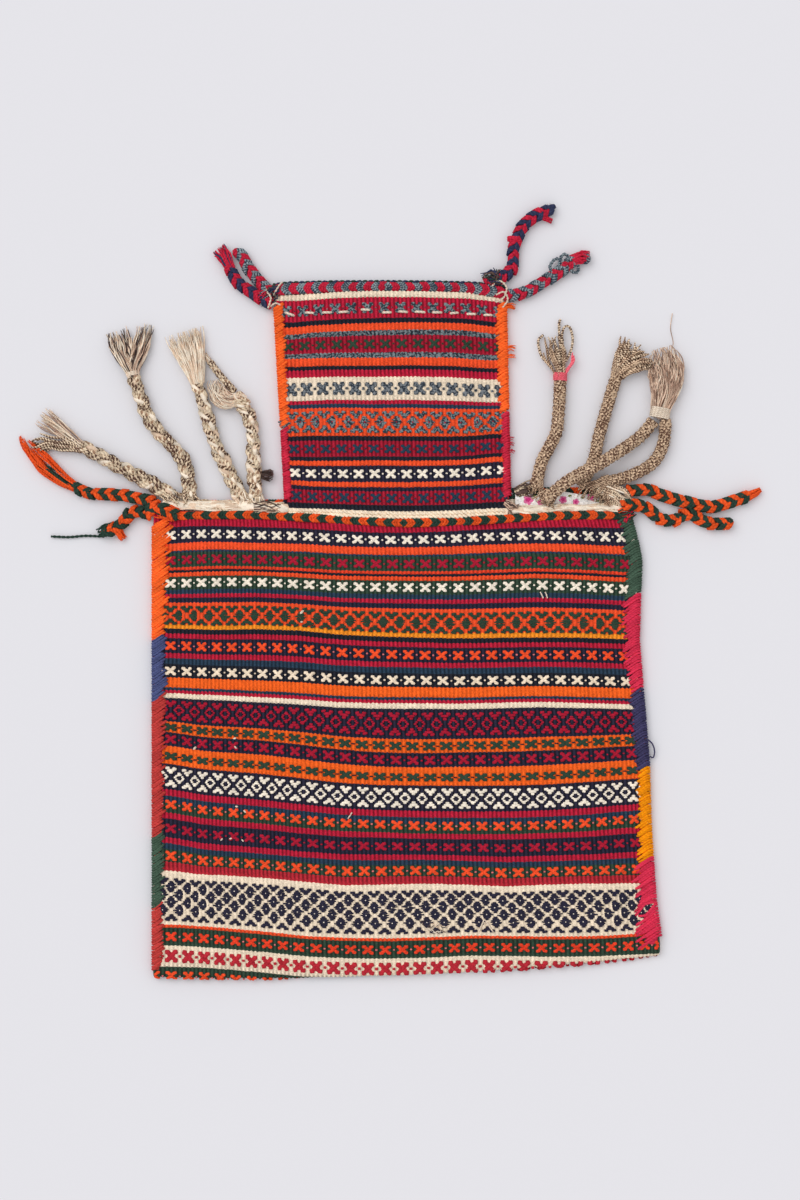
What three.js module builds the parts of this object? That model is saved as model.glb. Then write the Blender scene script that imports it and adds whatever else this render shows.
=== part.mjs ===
// A tribal salt bag of flatwoven wool, lying flat: one T-shaped strip folded at the bottom into
// a wide body and a narrow neck, whipped along its sides, with its warp ends plaited at the shoulders.
// Millimetres, +Z up, the neck towards +Y and the back of the bag on the ground.

import * as THREE from 'three';

const { clamp, lerp, smoothstep } = THREE.MathUtils;

// Outline of the bag, over the whipping on its sides
const LEFT_SHOULDER_WIDTH = 104;
const NECK_BASE_WIDTH = 176;
const RIGHT_SHOULDER_WIDTH = 92;
const BODY_FLARE = 25;
const BODY_HEIGHT = 365;
const NECK_TOP_WIDTH = 182;
const NECK_HEIGHT = 178;
const NECK_LEAN = 7;
const MOUTH_ARCH = 5;
const BOTTOM_RISE = 18;
const BOTTOM_LOW_SHARE = 0.2;
const WEFT_SAG = 6;

// Cloth, and the room that the empty bag keeps between its front and back
const CLOTH_THICKNESS = 2;
const RIDGE_HEIGHT = 0.6;
const SEAM_GAP = 0.5;
const SHOULDER_GAP = 1.4;
const BELLY_GAP = 6.4;
const BELLY_RUN = 30;
const SEAM_RIM = 16;
const CLEARANCE = 0.3;

// Whipping yarn along the sides, leaning as it is stitched
const WHIP_THICKNESS = 1.2;
const WHIP_SLANT = 0.8;
const WHIP_EASE = 20;

// Twined chain edgings: length of a stitch, width and height of the row
const SHOULDER_STITCH = 6.5;
const SHOULDER_CHAIN_WIDTH = 7.5;
const MOUTH_STITCH = 8.6;
const MOUTH_CHAIN_WIDTH = 8.5;
const CHAIN_HEIGHT = 2.8;
const CHEVRON_SHARE = 0.45;
const CHAIN_WAIST_WIDTH = 0.84;
const CHAIN_WAIST_HEIGHT = 0.6;
const CHAIN_LOBE_OUT = 0.7;
const CHAIN_LOBE_UP = 0.8;
const FRONT_MOUTH_DROP = 2;
const BACK_RISE_LEFT = 0;
const BACK_RISE_RIGHT = 12;

// Rows of bound warp ends on the shoulders, and the cotton strip inside the right shoulder
const WARP_ROW_HEIGHT = 4;
const LEFT_WARP_ROW_WIDTH = 8;
const RIGHT_WARP_ROW_WIDTH = 5;
const LINING_THICKNESS = 0.8;
const LINING_LENGTH = 66;
const LINING_INSET = 5;

// Plaits and braids
const PLAIT_DIAMETER = 10.4;
const BRAID_DIAMETER = 7.6;
const TAIL_DIAMETER = 2.2;
const CORD_STEP_DIAMETERS = 2.2;
const CORD_SIDES = 8;

const YARN = {
  orange: '#f2622a',
  yellow: '#f0920a',
  crimson: '#a92c40',
  rose: '#d93450',
  rust: '#b9423c',
  navy: '#2f3145',
  blue: '#4d547c',
  green: '#3a5648',
  teal: '#384a56',
  grey: '#7a8890',
  cream: '#e8d0b4',
  undyed: '#cdb496',
  brown: '#a4846f',
  pink: '#f4707c',
  cotton: '#eee4e2',
};

// Bands of the front, from the top: height as woven, yarn, and whether it is brocaded and so raised
const NECK_BANDS = [
  [5, 'cream', false],
  [16, 'crimson', true],
  [4, 'navy', false],
  [9, 'orange', false],
  [12, 'crimson', true],
  [10, 'orange', false],
  [9, 'crimson', false],
  [18, 'cream', true],
  [6, 'crimson', false],
  [22, 'orange', true],
  [4, 'navy', false],
  [12, 'crimson', true],
  [7, 'orange', false],
  [12, 'navy', true],
  [7, 'orange', false],
  [12, 'crimson', true],
  [10, 'cream', false],
];
const BODY_BANDS = [
  [12, 'crimson', false],
  [12, 'navy', true],
  [6, 'orange', false],
  [13, 'green', true],
  [7, 'orange', false],
  [10, 'green', true],
  [11, 'crimson', false],
  [23, 'orange', true],
  [6, 'crimson', false],
  [12, 'navy', true],
  [9, 'crimson', false],
  [10, 'navy', true],
  [8, 'orange', false],
  [8, 'cream', false],
  [18, 'navy', true],
  [11, 'orange', true],
  [9, 'navy', false],
  [16, 'orange', true],
  [20, 'navy', true],
  [8, 'crimson', false],
  [11, 'teal', true],
  [6, 'crimson', false],
  [15, 'navy', true],
  [6, 'crimson', false],
  [14, 'green', true],
  [13, 'cream', false],
  [32, 'navy', true],
  [8, 'cream', false],
  [13, 'green', true],
  [16, 'cream', true],
  [8, 'green', false],
];
const BACK_BANDS = ['crimson', 'navy', 'crimson', 'orange', 'navy', 'crimson', 'green', 'crimson'];
const BACK_NECK_BANDS = ['navy', 'crimson', 'orange', 'crimson'];

// Whipping, from the top of each side: length of each colour and its width on the face
const LEFT_WHIPPING = [
  ['orange', 98, 12.5],
  ['blue', 50, 9],
  ['rust_upper', 106, 7.5],
  ['green', 57, 6.5],
  ['rust_lower', 49, 6],
];
const RIGHT_WHIPPING = [
  ['green', 60, 12],
  ['rose', 76, 8],
  ['navy', 68, 7],
  ['yellow', 73, 7],
  ['crimson', 66, 14],
];
const LEFT_NECK_WHIPPING = [
  ['orange', 100, 8],
  ['rose', 56, 6],
];
const RIGHT_NECK_WHIPPING = [
  ['orange', 86, 7],
  ['rose', 62, 5],
];
const RIGHT_WHIPPING_STOP = 10;

// Levels and edges worked out from the sizes above
const BODY_TOP_WIDTH = LEFT_SHOULDER_WIDTH + NECK_BASE_WIDTH + RIGHT_SHOULDER_WIDTH;
const BODY_BOTTOM_WIDTH = BODY_TOP_WIDTH + BODY_FLARE;
const BOTTOM_Y = -(BODY_HEIGHT + NECK_HEIGHT) / 2;
const SHOULDER_Y = BOTTOM_Y + BODY_HEIGHT;
const MOUTH_Y = SHOULDER_Y + NECK_HEIGHT;
const OUTER_LEFT = -BODY_BOTTOM_WIDTH / 2;
const WRAP = WHIP_THICKNESS + CLEARANCE;
const BACK_OUTER_Z = WRAP;
const BACK_INNER_Z = BACK_OUTER_Z + CLOTH_THICKNESS;
const SEAM_TOP_Z = BACK_INNER_Z + SEAM_GAP + CLOTH_THICKNESS;

const BODY_LEFT = OUTER_LEFT + WRAP;
const BODY_TOP_RIGHT = OUTER_LEFT + BODY_TOP_WIDTH - WRAP;
const NECK_BASE_LEFT = OUTER_LEFT + LEFT_SHOULDER_WIDTH + WRAP;
const NECK_BASE_RIGHT = NECK_BASE_LEFT + NECK_BASE_WIDTH - 2 * WRAP;
const NECK_TOP_LEFT = (NECK_BASE_LEFT + NECK_BASE_RIGHT - NECK_TOP_WIDTH) / 2 - NECK_LEAN + WRAP;
const NECK_TOP_RIGHT = NECK_TOP_LEFT + NECK_TOP_WIDTH - 2 * WRAP;

const FOLD_RADIUS = CLOTH_THICKNESS + SEAM_GAP / 2;
const RIGHT_WHIP_END = BOTTOM_Y + BOTTOM_RISE + FOLD_RADIUS + RIGHT_WHIPPING_STOP;
const flareShare = (y) => Math.min(1, (SHOULDER_Y - y) / (SHOULDER_Y - RIGHT_WHIP_END));
const neckShare = (y) => (y - SHOULDER_Y) / NECK_HEIGHT;
const bodyRight = (y) => BODY_TOP_RIGHT + BODY_FLARE * flareShare(y);
const neckLeft = (y) => lerp(NECK_BASE_LEFT, NECK_TOP_LEFT, neckShare(y));
const neckRight = (y) => lerp(NECK_BASE_RIGHT, NECK_TOP_RIGHT, neckShare(y));

const sag = (share) => WEFT_SAG * Math.sin(Math.PI * share) ** 2;
const mouthLine = (share) => MOUTH_Y - MOUTH_ARCH * (2 * share - 1) ** 2;
const bottomLine = (share) =>
  BOTTOM_Y + BOTTOM_RISE * ((share - BOTTOM_LOW_SHARE) / (1 - BOTTOM_LOW_SHARE)) ** 2;

const group = new THREE.Group();

function addMesh(name, geometry, colour, roughness = 0.95) {
  const painted = geometry.hasAttribute('color');
  const material = new THREE.MeshStandardMaterial({
    color: painted ? '#ffffff' : YARN[colour],
    vertexColors: painted,
    roughness,
    metalness: 0,
  });
  const mesh = new THREE.Mesh(geometry, material);
  mesh.name = name;
  group.add(mesh);
}

// A faceted surface that gathers coloured polygons
class Facets {
  constructor() {
    this.positions = [];
    this.colours = [];
  }

  triangle(a, b, c, colour) {
    const shade = new THREE.Color(colour);
    for (const p of [a, b, c]) {
      this.positions.push(p.x, p.y, p.z);
      this.colours.push(shade.r, shade.g, shade.b);
    }
  }

  quad(a, b, c, d, colour) {
    this.triangle(a, b, c, colour);
    this.triangle(a, c, d, colour);
  }

  geometry() {
    const geometry = new THREE.BufferGeometry();
    geometry.setAttribute('position', new THREE.Float32BufferAttribute(this.positions, 3));
    geometry.setAttribute('color', new THREE.Float32BufferAttribute(this.colours, 3));
    geometry.computeVertexNormals();
    return geometry;
  }
}

// A solid through a row of rings with as many points each; colourAt gives each stretch its yarn
function loft(rings, capTriangles, colourAt) {
  const facets = new Facets();
  const count = rings[0].length;
  for (let r = 0; r + 1 < rings.length; r += 1) {
    for (let k = 0; k < count; k += 1) {
      const n = (k + 1) % count;
      facets.quad(rings[r][k], rings[r][n], rings[r + 1][n], rings[r + 1][k], colourAt(r));
    }
  }
  const last = rings[rings.length - 1];
  for (const [a, b, c] of capTriangles) {
    facets.triangle(rings[0][c], rings[0][b], rings[0][a], colourAt(0));
    facets.triangle(last[a], last[b], last[c], colourAt(rings.length - 2));
  }
  return facets.geometry();
}

const fanCap = (count) => Array.from({ length: count - 2 }, (_, k) => [0, k + 1, k + 2]);

// Distances that decide how far the front stands off the back
function segmentDistance(x, y, ax, ay, bx, by) {
  const length = (bx - ax) ** 2 + (by - ay) ** 2;
  const t = clamp(((x - ax) * (bx - ax) + (y - ay) * (by - ay)) / length, 0, 1);
  return Math.hypot(x - lerp(ax, bx, t), y - lerp(ay, by, t));
}

function seamDistance(x, y) {
  return Math.min(
    segmentDistance(x, y, BODY_LEFT, SHOULDER_Y, BODY_LEFT, BOTTOM_Y),
    segmentDistance(x, y, BODY_TOP_RIGHT, SHOULDER_Y, bodyRight(BOTTOM_Y), BOTTOM_Y),
    segmentDistance(x, y, NECK_BASE_LEFT, SHOULDER_Y, NECK_TOP_LEFT, MOUTH_Y),
    segmentDistance(x, y, NECK_BASE_RIGHT, SHOULDER_Y, NECK_TOP_RIGHT, MOUTH_Y),
  );
}

function shoulderDistance(x, y) {
  return Math.min(
    segmentDistance(x, y, BODY_LEFT, SHOULDER_Y, NECK_BASE_LEFT, SHOULDER_Y),
    segmentDistance(x, y, NECK_BASE_RIGHT, SHOULDER_Y, BODY_TOP_RIGHT, SHOULDER_Y),
  );
}

function innerGap(x, y, foldDistance) {
  const fromSeam = smoothstep(seamDistance(x, y), SEAM_RIM, SEAM_RIM + BELLY_RUN);
  const fromShoulder = smoothstep(shoulderDistance(x, y), 0, BELLY_RUN);
  const fromFold = smoothstep(foldDistance, 0, BELLY_RUN);
  return Math.min(
    lerp(SEAM_GAP, BELLY_GAP, fromSeam),
    lerp(SHOULDER_GAP, BELLY_GAP, fromShoulder),
    lerp(SEAM_GAP, BELLY_GAP, fromFold),
  );
}

// Columns of the cloth across the shoulder line, closer together where the front rises off the back
const RISE = SEAM_RIM + BELLY_RUN;
const NECK_COLUMNS = [
  NECK_BASE_LEFT,
  NECK_BASE_LEFT + SEAM_RIM,
  NECK_BASE_LEFT + RISE,
  (NECK_BASE_LEFT + NECK_BASE_RIGHT) / 2,
  NECK_BASE_RIGHT - RISE,
  NECK_BASE_RIGHT - SEAM_RIM,
  NECK_BASE_RIGHT,
];
const COLUMNS = [
  BODY_LEFT,
  BODY_LEFT + SEAM_RIM,
  BODY_LEFT + RISE,
  ...NECK_COLUMNS,
  BODY_TOP_RIGHT - RISE,
  BODY_TOP_RIGHT - SEAM_RIM,
  BODY_TOP_RIGHT,
];
const LAST_COLUMN = COLUMNS.length - 1;
const NECK_FIRST = COLUMNS.indexOf(NECK_BASE_LEFT);
const NECK_LAST = COLUMNS.indexOf(NECK_BASE_RIGHT);
const columnShare = (c) => (COLUMNS[c] - BODY_LEFT) / (BODY_TOP_RIGHT - BODY_LEFT);
const neckColumnShare = (c) => (COLUMNS[c] - NECK_BASE_LEFT) / (NECK_BASE_RIGHT - NECK_BASE_LEFT);

const bodyX = (c, y) => lerp(BODY_LEFT, bodyRight(y), columnShare(c));
const neckX = (c, y) => lerp(neckLeft(y), neckRight(y), neckColumnShare(c));
const foldY = (c) => bottomLine(columnShare(c)) + FOLD_RADIUS;
const frontBodyY = (c, v) => {
  const share = columnShare(c);
  return lerp(SHOULDER_Y, foldY(c), v) - sag(share) * (1 - v ** 4);
};
const frontNeckY = (c, v) => {
  const mouth = mouthLine(neckColumnShare(c)) - FRONT_MOUTH_DROP - MOUTH_CHAIN_WIDTH - CLEARANCE;
  return lerp(mouth, frontBodyY(c, 0), v);
};
const backShoulderY = (c) => SHOULDER_Y + lerp(BACK_RISE_LEFT, BACK_RISE_RIGHT, columnShare(c));
const backMouthY = (c) => mouthLine(neckColumnShare(c)) - MOUTH_CHAIN_WIDTH - CLEARANCE;

// Row fractions of a stack of bands: a brocaded band has a crest half way
function bandRows(bands) {
  const total = bands.reduce((sum, [height]) => sum + height, 0);
  const rows = [];
  let done = 0;
  for (const [height, yarn, raised] of bands) {
    rows.push({ v: done / total, yarn, crest: 0 });
    if (raised) {
      rows.push({ v: (done + height / 2) / total, yarn, crest: RIDGE_HEIGHT });
    }
    done += height;
  }
  return rows;
}

// One row of the cloth: outer and inner points for the columns that it has
function clothRow(first, last, yarn, place) {
  const row = { first, last, yarn, outer: [], inner: [] };
  for (let c = first; c <= last; c += 1) {
    const { x, outer, inner } = place(c);
    row.outer[c] = new THREE.Vector3(x, outer[0], outer[1]);
    row.inner[c] = new THREE.Vector3(x, inner[0], inner[1]);
  }
  return row;
}

function frontPoint(x, y, foldDistance, crest) {
  const inner = BACK_INNER_Z + innerGap(x, y, foldDistance);
  const ridge = crest * smoothstep(seamDistance(x, y), SEAM_RIM, RISE);
  return { x, outer: [y, inner + CLOTH_THICKNESS + ridge], inner: [y, inner] };
}

function frontRows() {
  const rows = [];
  for (const { v, yarn, crest } of bandRows(NECK_BANDS)) {
    rows.push(clothRow(NECK_FIRST, NECK_LAST, yarn, (c) => {
      const y = frontNeckY(c, v);
      return frontPoint(neckX(c, y), y, BODY_HEIGHT, crest);
    }));
  }
  for (const { v, yarn, crest } of bandRows(BODY_BANDS)) {
    rows.push(clothRow(0, LAST_COLUMN, yarn, (c) => {
      const y = frontBodyY(c, v);
      return frontPoint(bodyX(c, y), y, y - foldY(c), crest);
    }));
  }
  return rows;
}

const FOLD_STEPS = 6;

function foldRows() {
  const middle = BACK_INNER_Z + SEAM_GAP / 2;
  const turn = (y, radius, angle) => [y - radius * Math.sin(angle), middle + radius * Math.cos(angle)];
  return Array.from({ length: FOLD_STEPS }, (_, k) => {
    const angle = (Math.PI * k) / FOLD_STEPS;
    return clothRow(0, LAST_COLUMN, 'green', (c) => {
      const y = foldY(c);
      return {
        x: bodyX(c, y),
        outer: turn(y, FOLD_RADIUS, angle),
        inner: turn(y, SEAM_GAP / 2, angle),
      };
    });
  });
}

const backPoint = (x, y) => ({ x, outer: [y, BACK_OUTER_Z], inner: [y, BACK_INNER_Z] });

function backRows() {
  const body = BACK_BANDS.map((yarn, k) => clothRow(0, LAST_COLUMN, yarn, (c) => {
    const y = lerp(foldY(c), backShoulderY(c), k / BACK_BANDS.length);
    return backPoint(bodyX(c, y), y);
  }));
  const shoulder = clothRow(0, LAST_COLUMN, BACK_NECK_BANDS[0], (c) => {
    const y = backShoulderY(c);
    return backPoint(bodyX(c, y), y);
  });
  const neck = BACK_NECK_BANDS.map((yarn, k) => clothRow(NECK_FIRST, NECK_LAST, yarn, (c) => {
    const y = lerp(backShoulderY(c), backMouthY(c), (k + 1) / BACK_NECK_BANDS.length);
    return backPoint(neckX(c, y), y);
  }));
  return [...body, shoulder, ...neck];
}

// The strip is closed along its whole edge: mouth, sides and the shoulders where it widens
function clothGeometry(rows) {
  const facets = new Facets();
  const edge = YARN.navy;
  const rim = (a, b, from, to) => {
    for (let c = from; c < to; c += 1) {
      facets.quad(a[c], a[c + 1], b[c + 1], b[c], edge);
    }
  };
  for (let r = 0; r + 1 < rows.length; r += 1) {
    const [here, next] = [rows[r], rows[r + 1]];
    const first = Math.max(here.first, next.first);
    const last = Math.min(here.last, next.last);
    const shade = YARN[here.yarn];
    for (let c = first; c < last; c += 1) {
      facets.quad(here.outer[c], next.outer[c], next.outer[c + 1], here.outer[c + 1], shade);
      facets.quad(here.inner[c], here.inner[c + 1], next.inner[c + 1], next.inner[c], shade);
    }
    facets.quad(next.outer[first], here.outer[first], here.inner[first], next.inner[first], edge);
    facets.quad(here.outer[last], next.outer[last], next.inner[last], here.inner[last], edge);
    rim(next.outer, next.inner, next.first, first);
    rim(next.outer, next.inner, last, next.last);
    rim(here.inner, here.outer, here.first, first);
    rim(here.inner, here.outer, last, here.last);
  }
  const [top, end] = [rows[0], rows[rows.length - 1]];
  rim(top.outer, top.inner, top.first, top.last);
  rim(end.inner, end.outer, end.first, end.last);
  return facets.geometry();
}

const front = frontRows();
const back = backRows();
addMesh('bag_cloth', clothGeometry([...front, ...foldRows(), ...back]));

const FRONT_MOUTH_ROW = front[0];
const FRONT_SHOULDER_ROW = front.find((row) => row.first === 0);
const FRONT_SECOND_ROW = front[front.indexOf(FRONT_SHOULDER_ROW) + 1];
const BACK_SHOULDER_ROW = back[BACK_BANDS.length];
const BACK_MOUTH_ROW = back[back.length - 1];

// A point of a cloth row at a given x, between its columns
function alongRow(row, side, x) {
  let c = row.first;
  while (c < row.last - 1 && row[side][c + 1].x < x) {
    c += 1;
  }
  const [a, b] = [row[side][c], row[side][c + 1]];
  return a.clone().lerp(b, (x - a.x) / (b.x - a.x));
}

// Whipping: a band that wraps both edges, with slanted ends where one colour follows another
const WHIP_SECTION = (width) => {
  const top = SEAM_TOP_Z + CLEARANCE;
  const roof = top + WHIP_THICKNESS;
  const bevel = WHIP_THICKNESS;
  return [
    [width, 0],
    [width, WHIP_THICKNESS],
    [-CLEARANCE, WHIP_THICKNESS],
    [-CLEARANCE, top],
    [width, top],
    [width, roof],
    [-CLEARANCE, roof],
    [-WRAP, roof - bevel],
    [-WRAP, bevel],
    [-CLEARANCE, 0],
  ];
};
const WHIP_CAP = THREE.ShapeUtils.triangulateShape(
  WHIP_SECTION(SEAM_RIM).map(([e, z]) => new THREE.Vector2(e, z)),
  [],
);

function whipping(prefix, blocks, topY, endY, edgeX, inward) {
  const total = blocks.reduce((sum, [, length]) => sum + length, 0);
  const along = (share) => lerp(topY, endY, share);
  const ring = (y, width) => {
    const slant = WHIP_SLANT * clamp(Math.min(topY - y, y - endY) / WHIP_EASE, 0, 1);
    const points = WHIP_SECTION(width).map(
      ([e, z]) => new THREE.Vector3(edgeX(y) + inward * e, y + inward * slant * e, z),
    );
    return inward > 0 ? points : points.reverse();
  };
  let done = 0;
  for (const [colour, length, width] of blocks) {
    const start = along(done / total) - (done > 0 ? CLEARANCE : 0);
    done += length;
    const end = along(done / total);
    const eased = [start, start - WHIP_EASE, end + WHIP_EASE, end];
    const rings = eased.map((y) => ring(y, width));
    const lastPoint = rings[0].length - 1;
    const mirrored = WHIP_CAP.map(([a, b, c]) => [lastPoint - c, lastPoint - b, lastPoint - a]);
    const cap = inward > 0 ? WHIP_CAP : mirrored;
    const yarn = YARN[colour.split('_')[0]];
    addMesh(`${prefix}_${colour}`, loft(rings, cap, () => yarn));
  }
}

const BODY_WHIP_TOP = SHOULDER_Y;
const LEFT_WHIP_END = foldY(0);
const LEFT_NECK_WHIP_END = backShoulderY(NECK_FIRST) + CLEARANCE;
const RIGHT_NECK_WHIP_END = backShoulderY(NECK_LAST) + CLEARANCE;
whipping('whipping_left', LEFT_WHIPPING, BODY_WHIP_TOP, LEFT_WHIP_END, () => BODY_LEFT, 1);
whipping('whipping_right', RIGHT_WHIPPING, BODY_WHIP_TOP, RIGHT_WHIP_END, bodyRight, -1);
whipping(
  'neck_whipping_left', LEFT_NECK_WHIPPING,
  frontNeckY(NECK_FIRST, 0), LEFT_NECK_WHIP_END, neckLeft, 1,
);
whipping(
  'neck_whipping_right', RIGHT_NECK_WHIPPING,
  frontNeckY(NECK_LAST, 0), RIGHT_NECK_WHIP_END, neckRight, -1,
);

// Chain edging: V-shaped stitches that swell and narrow along the row
const CHAIN_CAP = fanCap(5);

function chainEdging(name, yarns, from, to, stitch, width, place, pointing) {
  const count = Math.max(2, Math.round((to - from) / stitch));
  const pitch = (to - from) / count;
  const rings = [];
  const ring = (x, swell) => {
    const tip = pitch * CHEVRON_SHARE * pointing(x) * (x > from && x < to ? 1 : 0);
    const half = (width / 2) * lerp(CHAIN_WAIST_WIDTH, 1, swell);
    const top = CHAIN_HEIGHT * lerp(CHAIN_WAIST_HEIGHT, 1, swell);
    const lobe = { out: half * CHAIN_LOBE_OUT, up: top * CHAIN_LOBE_UP };
    const { y, z } = place(x);
    return [
      new THREE.Vector3(x, y - half, z),
      new THREE.Vector3(x, y + half, z),
      new THREE.Vector3(x, y + lobe.out, z + lobe.up),
      new THREE.Vector3(x + tip, y, z + top),
      new THREE.Vector3(x, y - lobe.out, z + lobe.up),
    ];
  };
  for (let k = 0; k < count; k += 1) {
    rings.push(ring(from + pitch * k, 0), ring(from + pitch * (k + 0.5), 1));
  }
  rings.push(ring(to, 0));
  addMesh(name, loft(rings, CHAIN_CAP, (r) => YARN[yarns[Math.floor(r / 2) % yarns.length]]));
}

const SHOULDER_YARNS = ['green', 'orange'];
const chainPoint = (row, x, rise, z) => ({ y: alongRow(row, 'outer', x).y + rise, z });
const neckMiddle = (NECK_BASE_LEFT + NECK_BASE_RIGHT) / 2;
const outward = (x) => Math.sign(x - neckMiddle);

const frontChainLeft = BODY_LEFT + LEFT_WHIPPING[0][2] + CLEARANCE;
const frontChainRight = BODY_TOP_RIGHT - RIGHT_WHIPPING[0][2] - CLEARANCE;
chainEdging(
  'shoulder_edging_front', SHOULDER_YARNS, frontChainLeft, frontChainRight,
  SHOULDER_STITCH, SHOULDER_CHAIN_WIDTH,
  (x) => chainPoint(
    FRONT_SHOULDER_ROW, x, -SHOULDER_CHAIN_WIDTH / 2,
    CLEARANCE + Math.max(
      alongRow(FRONT_SHOULDER_ROW, 'outer', x).z,
      alongRow(FRONT_SECOND_ROW, 'outer', x).z,
    ),
  ),
  outward,
);

// The shoulders stop short of the whipped neck, as high as what lies on them reaches
const shoulderReach = SHOULDER_Y + BACK_RISE_RIGHT + CLEARANCE + SHOULDER_CHAIN_WIDTH;
const leftShoulderEnd = Math.min(NECK_BASE_LEFT, neckLeft(shoulderReach)) - WRAP - CLEARANCE;
const rightShoulderEnd = Math.max(NECK_BASE_RIGHT, neckRight(shoulderReach)) + WRAP + CLEARANCE;

const edgeRise = (width) => CLEARANCE + width / 2;
const backChain = (row, width) => (x) => chainPoint(row, x, edgeRise(width), BACK_INNER_Z - CHAIN_HEIGHT);
chainEdging(
  'shoulder_edging_back_left', SHOULDER_YARNS, BODY_LEFT, leftShoulderEnd,
  SHOULDER_STITCH, SHOULDER_CHAIN_WIDTH, backChain(BACK_SHOULDER_ROW, SHOULDER_CHAIN_WIDTH), outward,
);
chainEdging(
  'shoulder_edging_back_right', SHOULDER_YARNS, rightShoulderEnd, BODY_TOP_RIGHT,
  SHOULDER_STITCH, SHOULDER_CHAIN_WIDTH, backChain(BACK_SHOULDER_ROW, SHOULDER_CHAIN_WIDTH), outward,
);
chainEdging(
  'mouth_edging_front', ['crimson', 'grey'], NECK_TOP_LEFT, NECK_TOP_RIGHT,
  MOUTH_STITCH, MOUTH_CHAIN_WIDTH,
  (x) => chainPoint(
    FRONT_MOUTH_ROW, x, edgeRise(MOUTH_CHAIN_WIDTH),
    alongRow(FRONT_MOUTH_ROW, 'outer', x).z - CLOTH_THICKNESS,
  ),
  outward,
);
chainEdging(
  'mouth_edging_back', ['navy', 'teal'], NECK_TOP_LEFT, NECK_TOP_RIGHT,
  MOUTH_STITCH, MOUTH_CHAIN_WIDTH, backChain(BACK_MOUTH_ROW, MOUTH_CHAIN_WIDTH), outward,
);

// A flattened bundle of yarn through stations of x, y, z, half width and half height
const BUNDLE_SIDES = 8;
const BUNDLE_CAP = fanCap(BUNDLE_SIDES);

function bundle(name, yarn, stations) {
  const centres = stations.map(([x, y, z]) => new THREE.Vector3(x, y, z));
  const rings = stations.map(([, , , halfWidth, halfHeight], s) => {
    const ahead = centres[Math.min(s + 1, centres.length - 1)];
    const behind = centres[Math.max(s - 1, 0)];
    const along = ahead.clone().sub(behind).normalize();
    const across = new THREE.Vector3(0, 0, 1).cross(along).normalize();
    const up = along.clone().cross(across);
    return Array.from({ length: BUNDLE_SIDES }, (_, k) => {
      const angle = (2 * Math.PI * (k + 0.5)) / BUNDLE_SIDES;
      return centres[s].clone()
        .addScaledVector(across, halfWidth * Math.cos(angle))
        .addScaledVector(up, halfHeight * Math.sin(angle));
    });
  });
  addMesh(name, loft(rings, BUNDLE_CAP, () => YARN[yarn]));
}

// Warp ends bound into a row just above the front's shoulder edge
const WARP_ROW_STEPS = 6;
const WARP_ROW_Z = BACK_INNER_Z + 2 * CLEARANCE + LINING_THICKNESS + WARP_ROW_HEIGHT / 2;

function warpRow(name, from, to, width) {
  const stations = Array.from({ length: WARP_ROW_STEPS + 1 }, (_, k) => {
    const x = lerp(from, to, k / WARP_ROW_STEPS);
    const y = alongRow(FRONT_SHOULDER_ROW, 'outer', x).y + CLEARANCE + width / 2;
    return [x, y, WARP_ROW_Z, width / 2, WARP_ROW_HEIGHT / 2];
  });
  bundle(name, 'undyed', stations);
}

warpRow('shoulder_warps_left', frontChainLeft, leftShoulderEnd, LEFT_WARP_ROW_WIDTH);
warpRow('shoulder_warps_right', rightShoulderEnd, frontChainRight, RIGHT_WARP_ROW_WIDTH);

// Cotton strip on the inside of the back, above the front's edge
const LINING_STEPS = 3;

function liningStrip() {
  const from = NECK_BASE_RIGHT + LINING_INSET;
  const bottom = BACK_INNER_Z + CLEARANCE;
  const top = bottom + LINING_THICKNESS;
  const rings = Array.from({ length: LINING_STEPS + 1 }, (_, k) => {
    const x = from + (LINING_LENGTH * k) / LINING_STEPS;
    const low = alongRow(FRONT_SHOULDER_ROW, 'outer', x).y + CLEARANCE;
    const high = alongRow(BACK_SHOULDER_ROW, 'outer', x).y - CLEARANCE;
    return [[low, bottom], [high, bottom], [high, top], [low, top]]
      .map(([y, z]) => new THREE.Vector3(x, y, z));
  });
  addMesh('lining_strip', loft(rings, fanCap(4), () => YARN.cotton));
}

liningStrip();

// Cords: a round section drawn along the route that the plait or braid takes on the ground
function cord(name, yarn, diameter, route) {
  const path = new THREE.CatmullRomCurve3(route.map((p) => new THREE.Vector3(...p)));
  const section = new THREE.Shape(Array.from({ length: CORD_SIDES }, (_, k) => {
    const angle = (2 * Math.PI * (k + 0.5)) / CORD_SIDES;
    const radius = diameter / 2;
    return new THREE.Vector2(radius * Math.cos(angle), radius * Math.sin(angle));
  }));
  const steps = Math.max(3, Math.round(path.getLength() / (CORD_STEP_DIAMETERS * diameter)));
  const geometry = new THREE.ExtrudeGeometry(section, { steps, extrudePath: path, bevelEnabled: false });
  addMesh(name, geometry, yarn);
}

// Cords are laid out from the corner of the bag that they leave
const LEFT_SHOULDER = [BODY_LEFT, SHOULDER_Y];
const RIGHT_SHOULDER = [BODY_TOP_RIGHT, SHOULDER_Y];
const MOUTH_LEFT = [NECK_TOP_LEFT, MOUTH_Y];
const MOUTH_RIGHT = [NECK_TOP_RIGHT, MOUTH_Y];

function from([cornerX, cornerY], points) {
  return points.map(([x, y, ...rest]) => [cornerX + x, cornerY + y, ...rest]);
}

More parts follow.
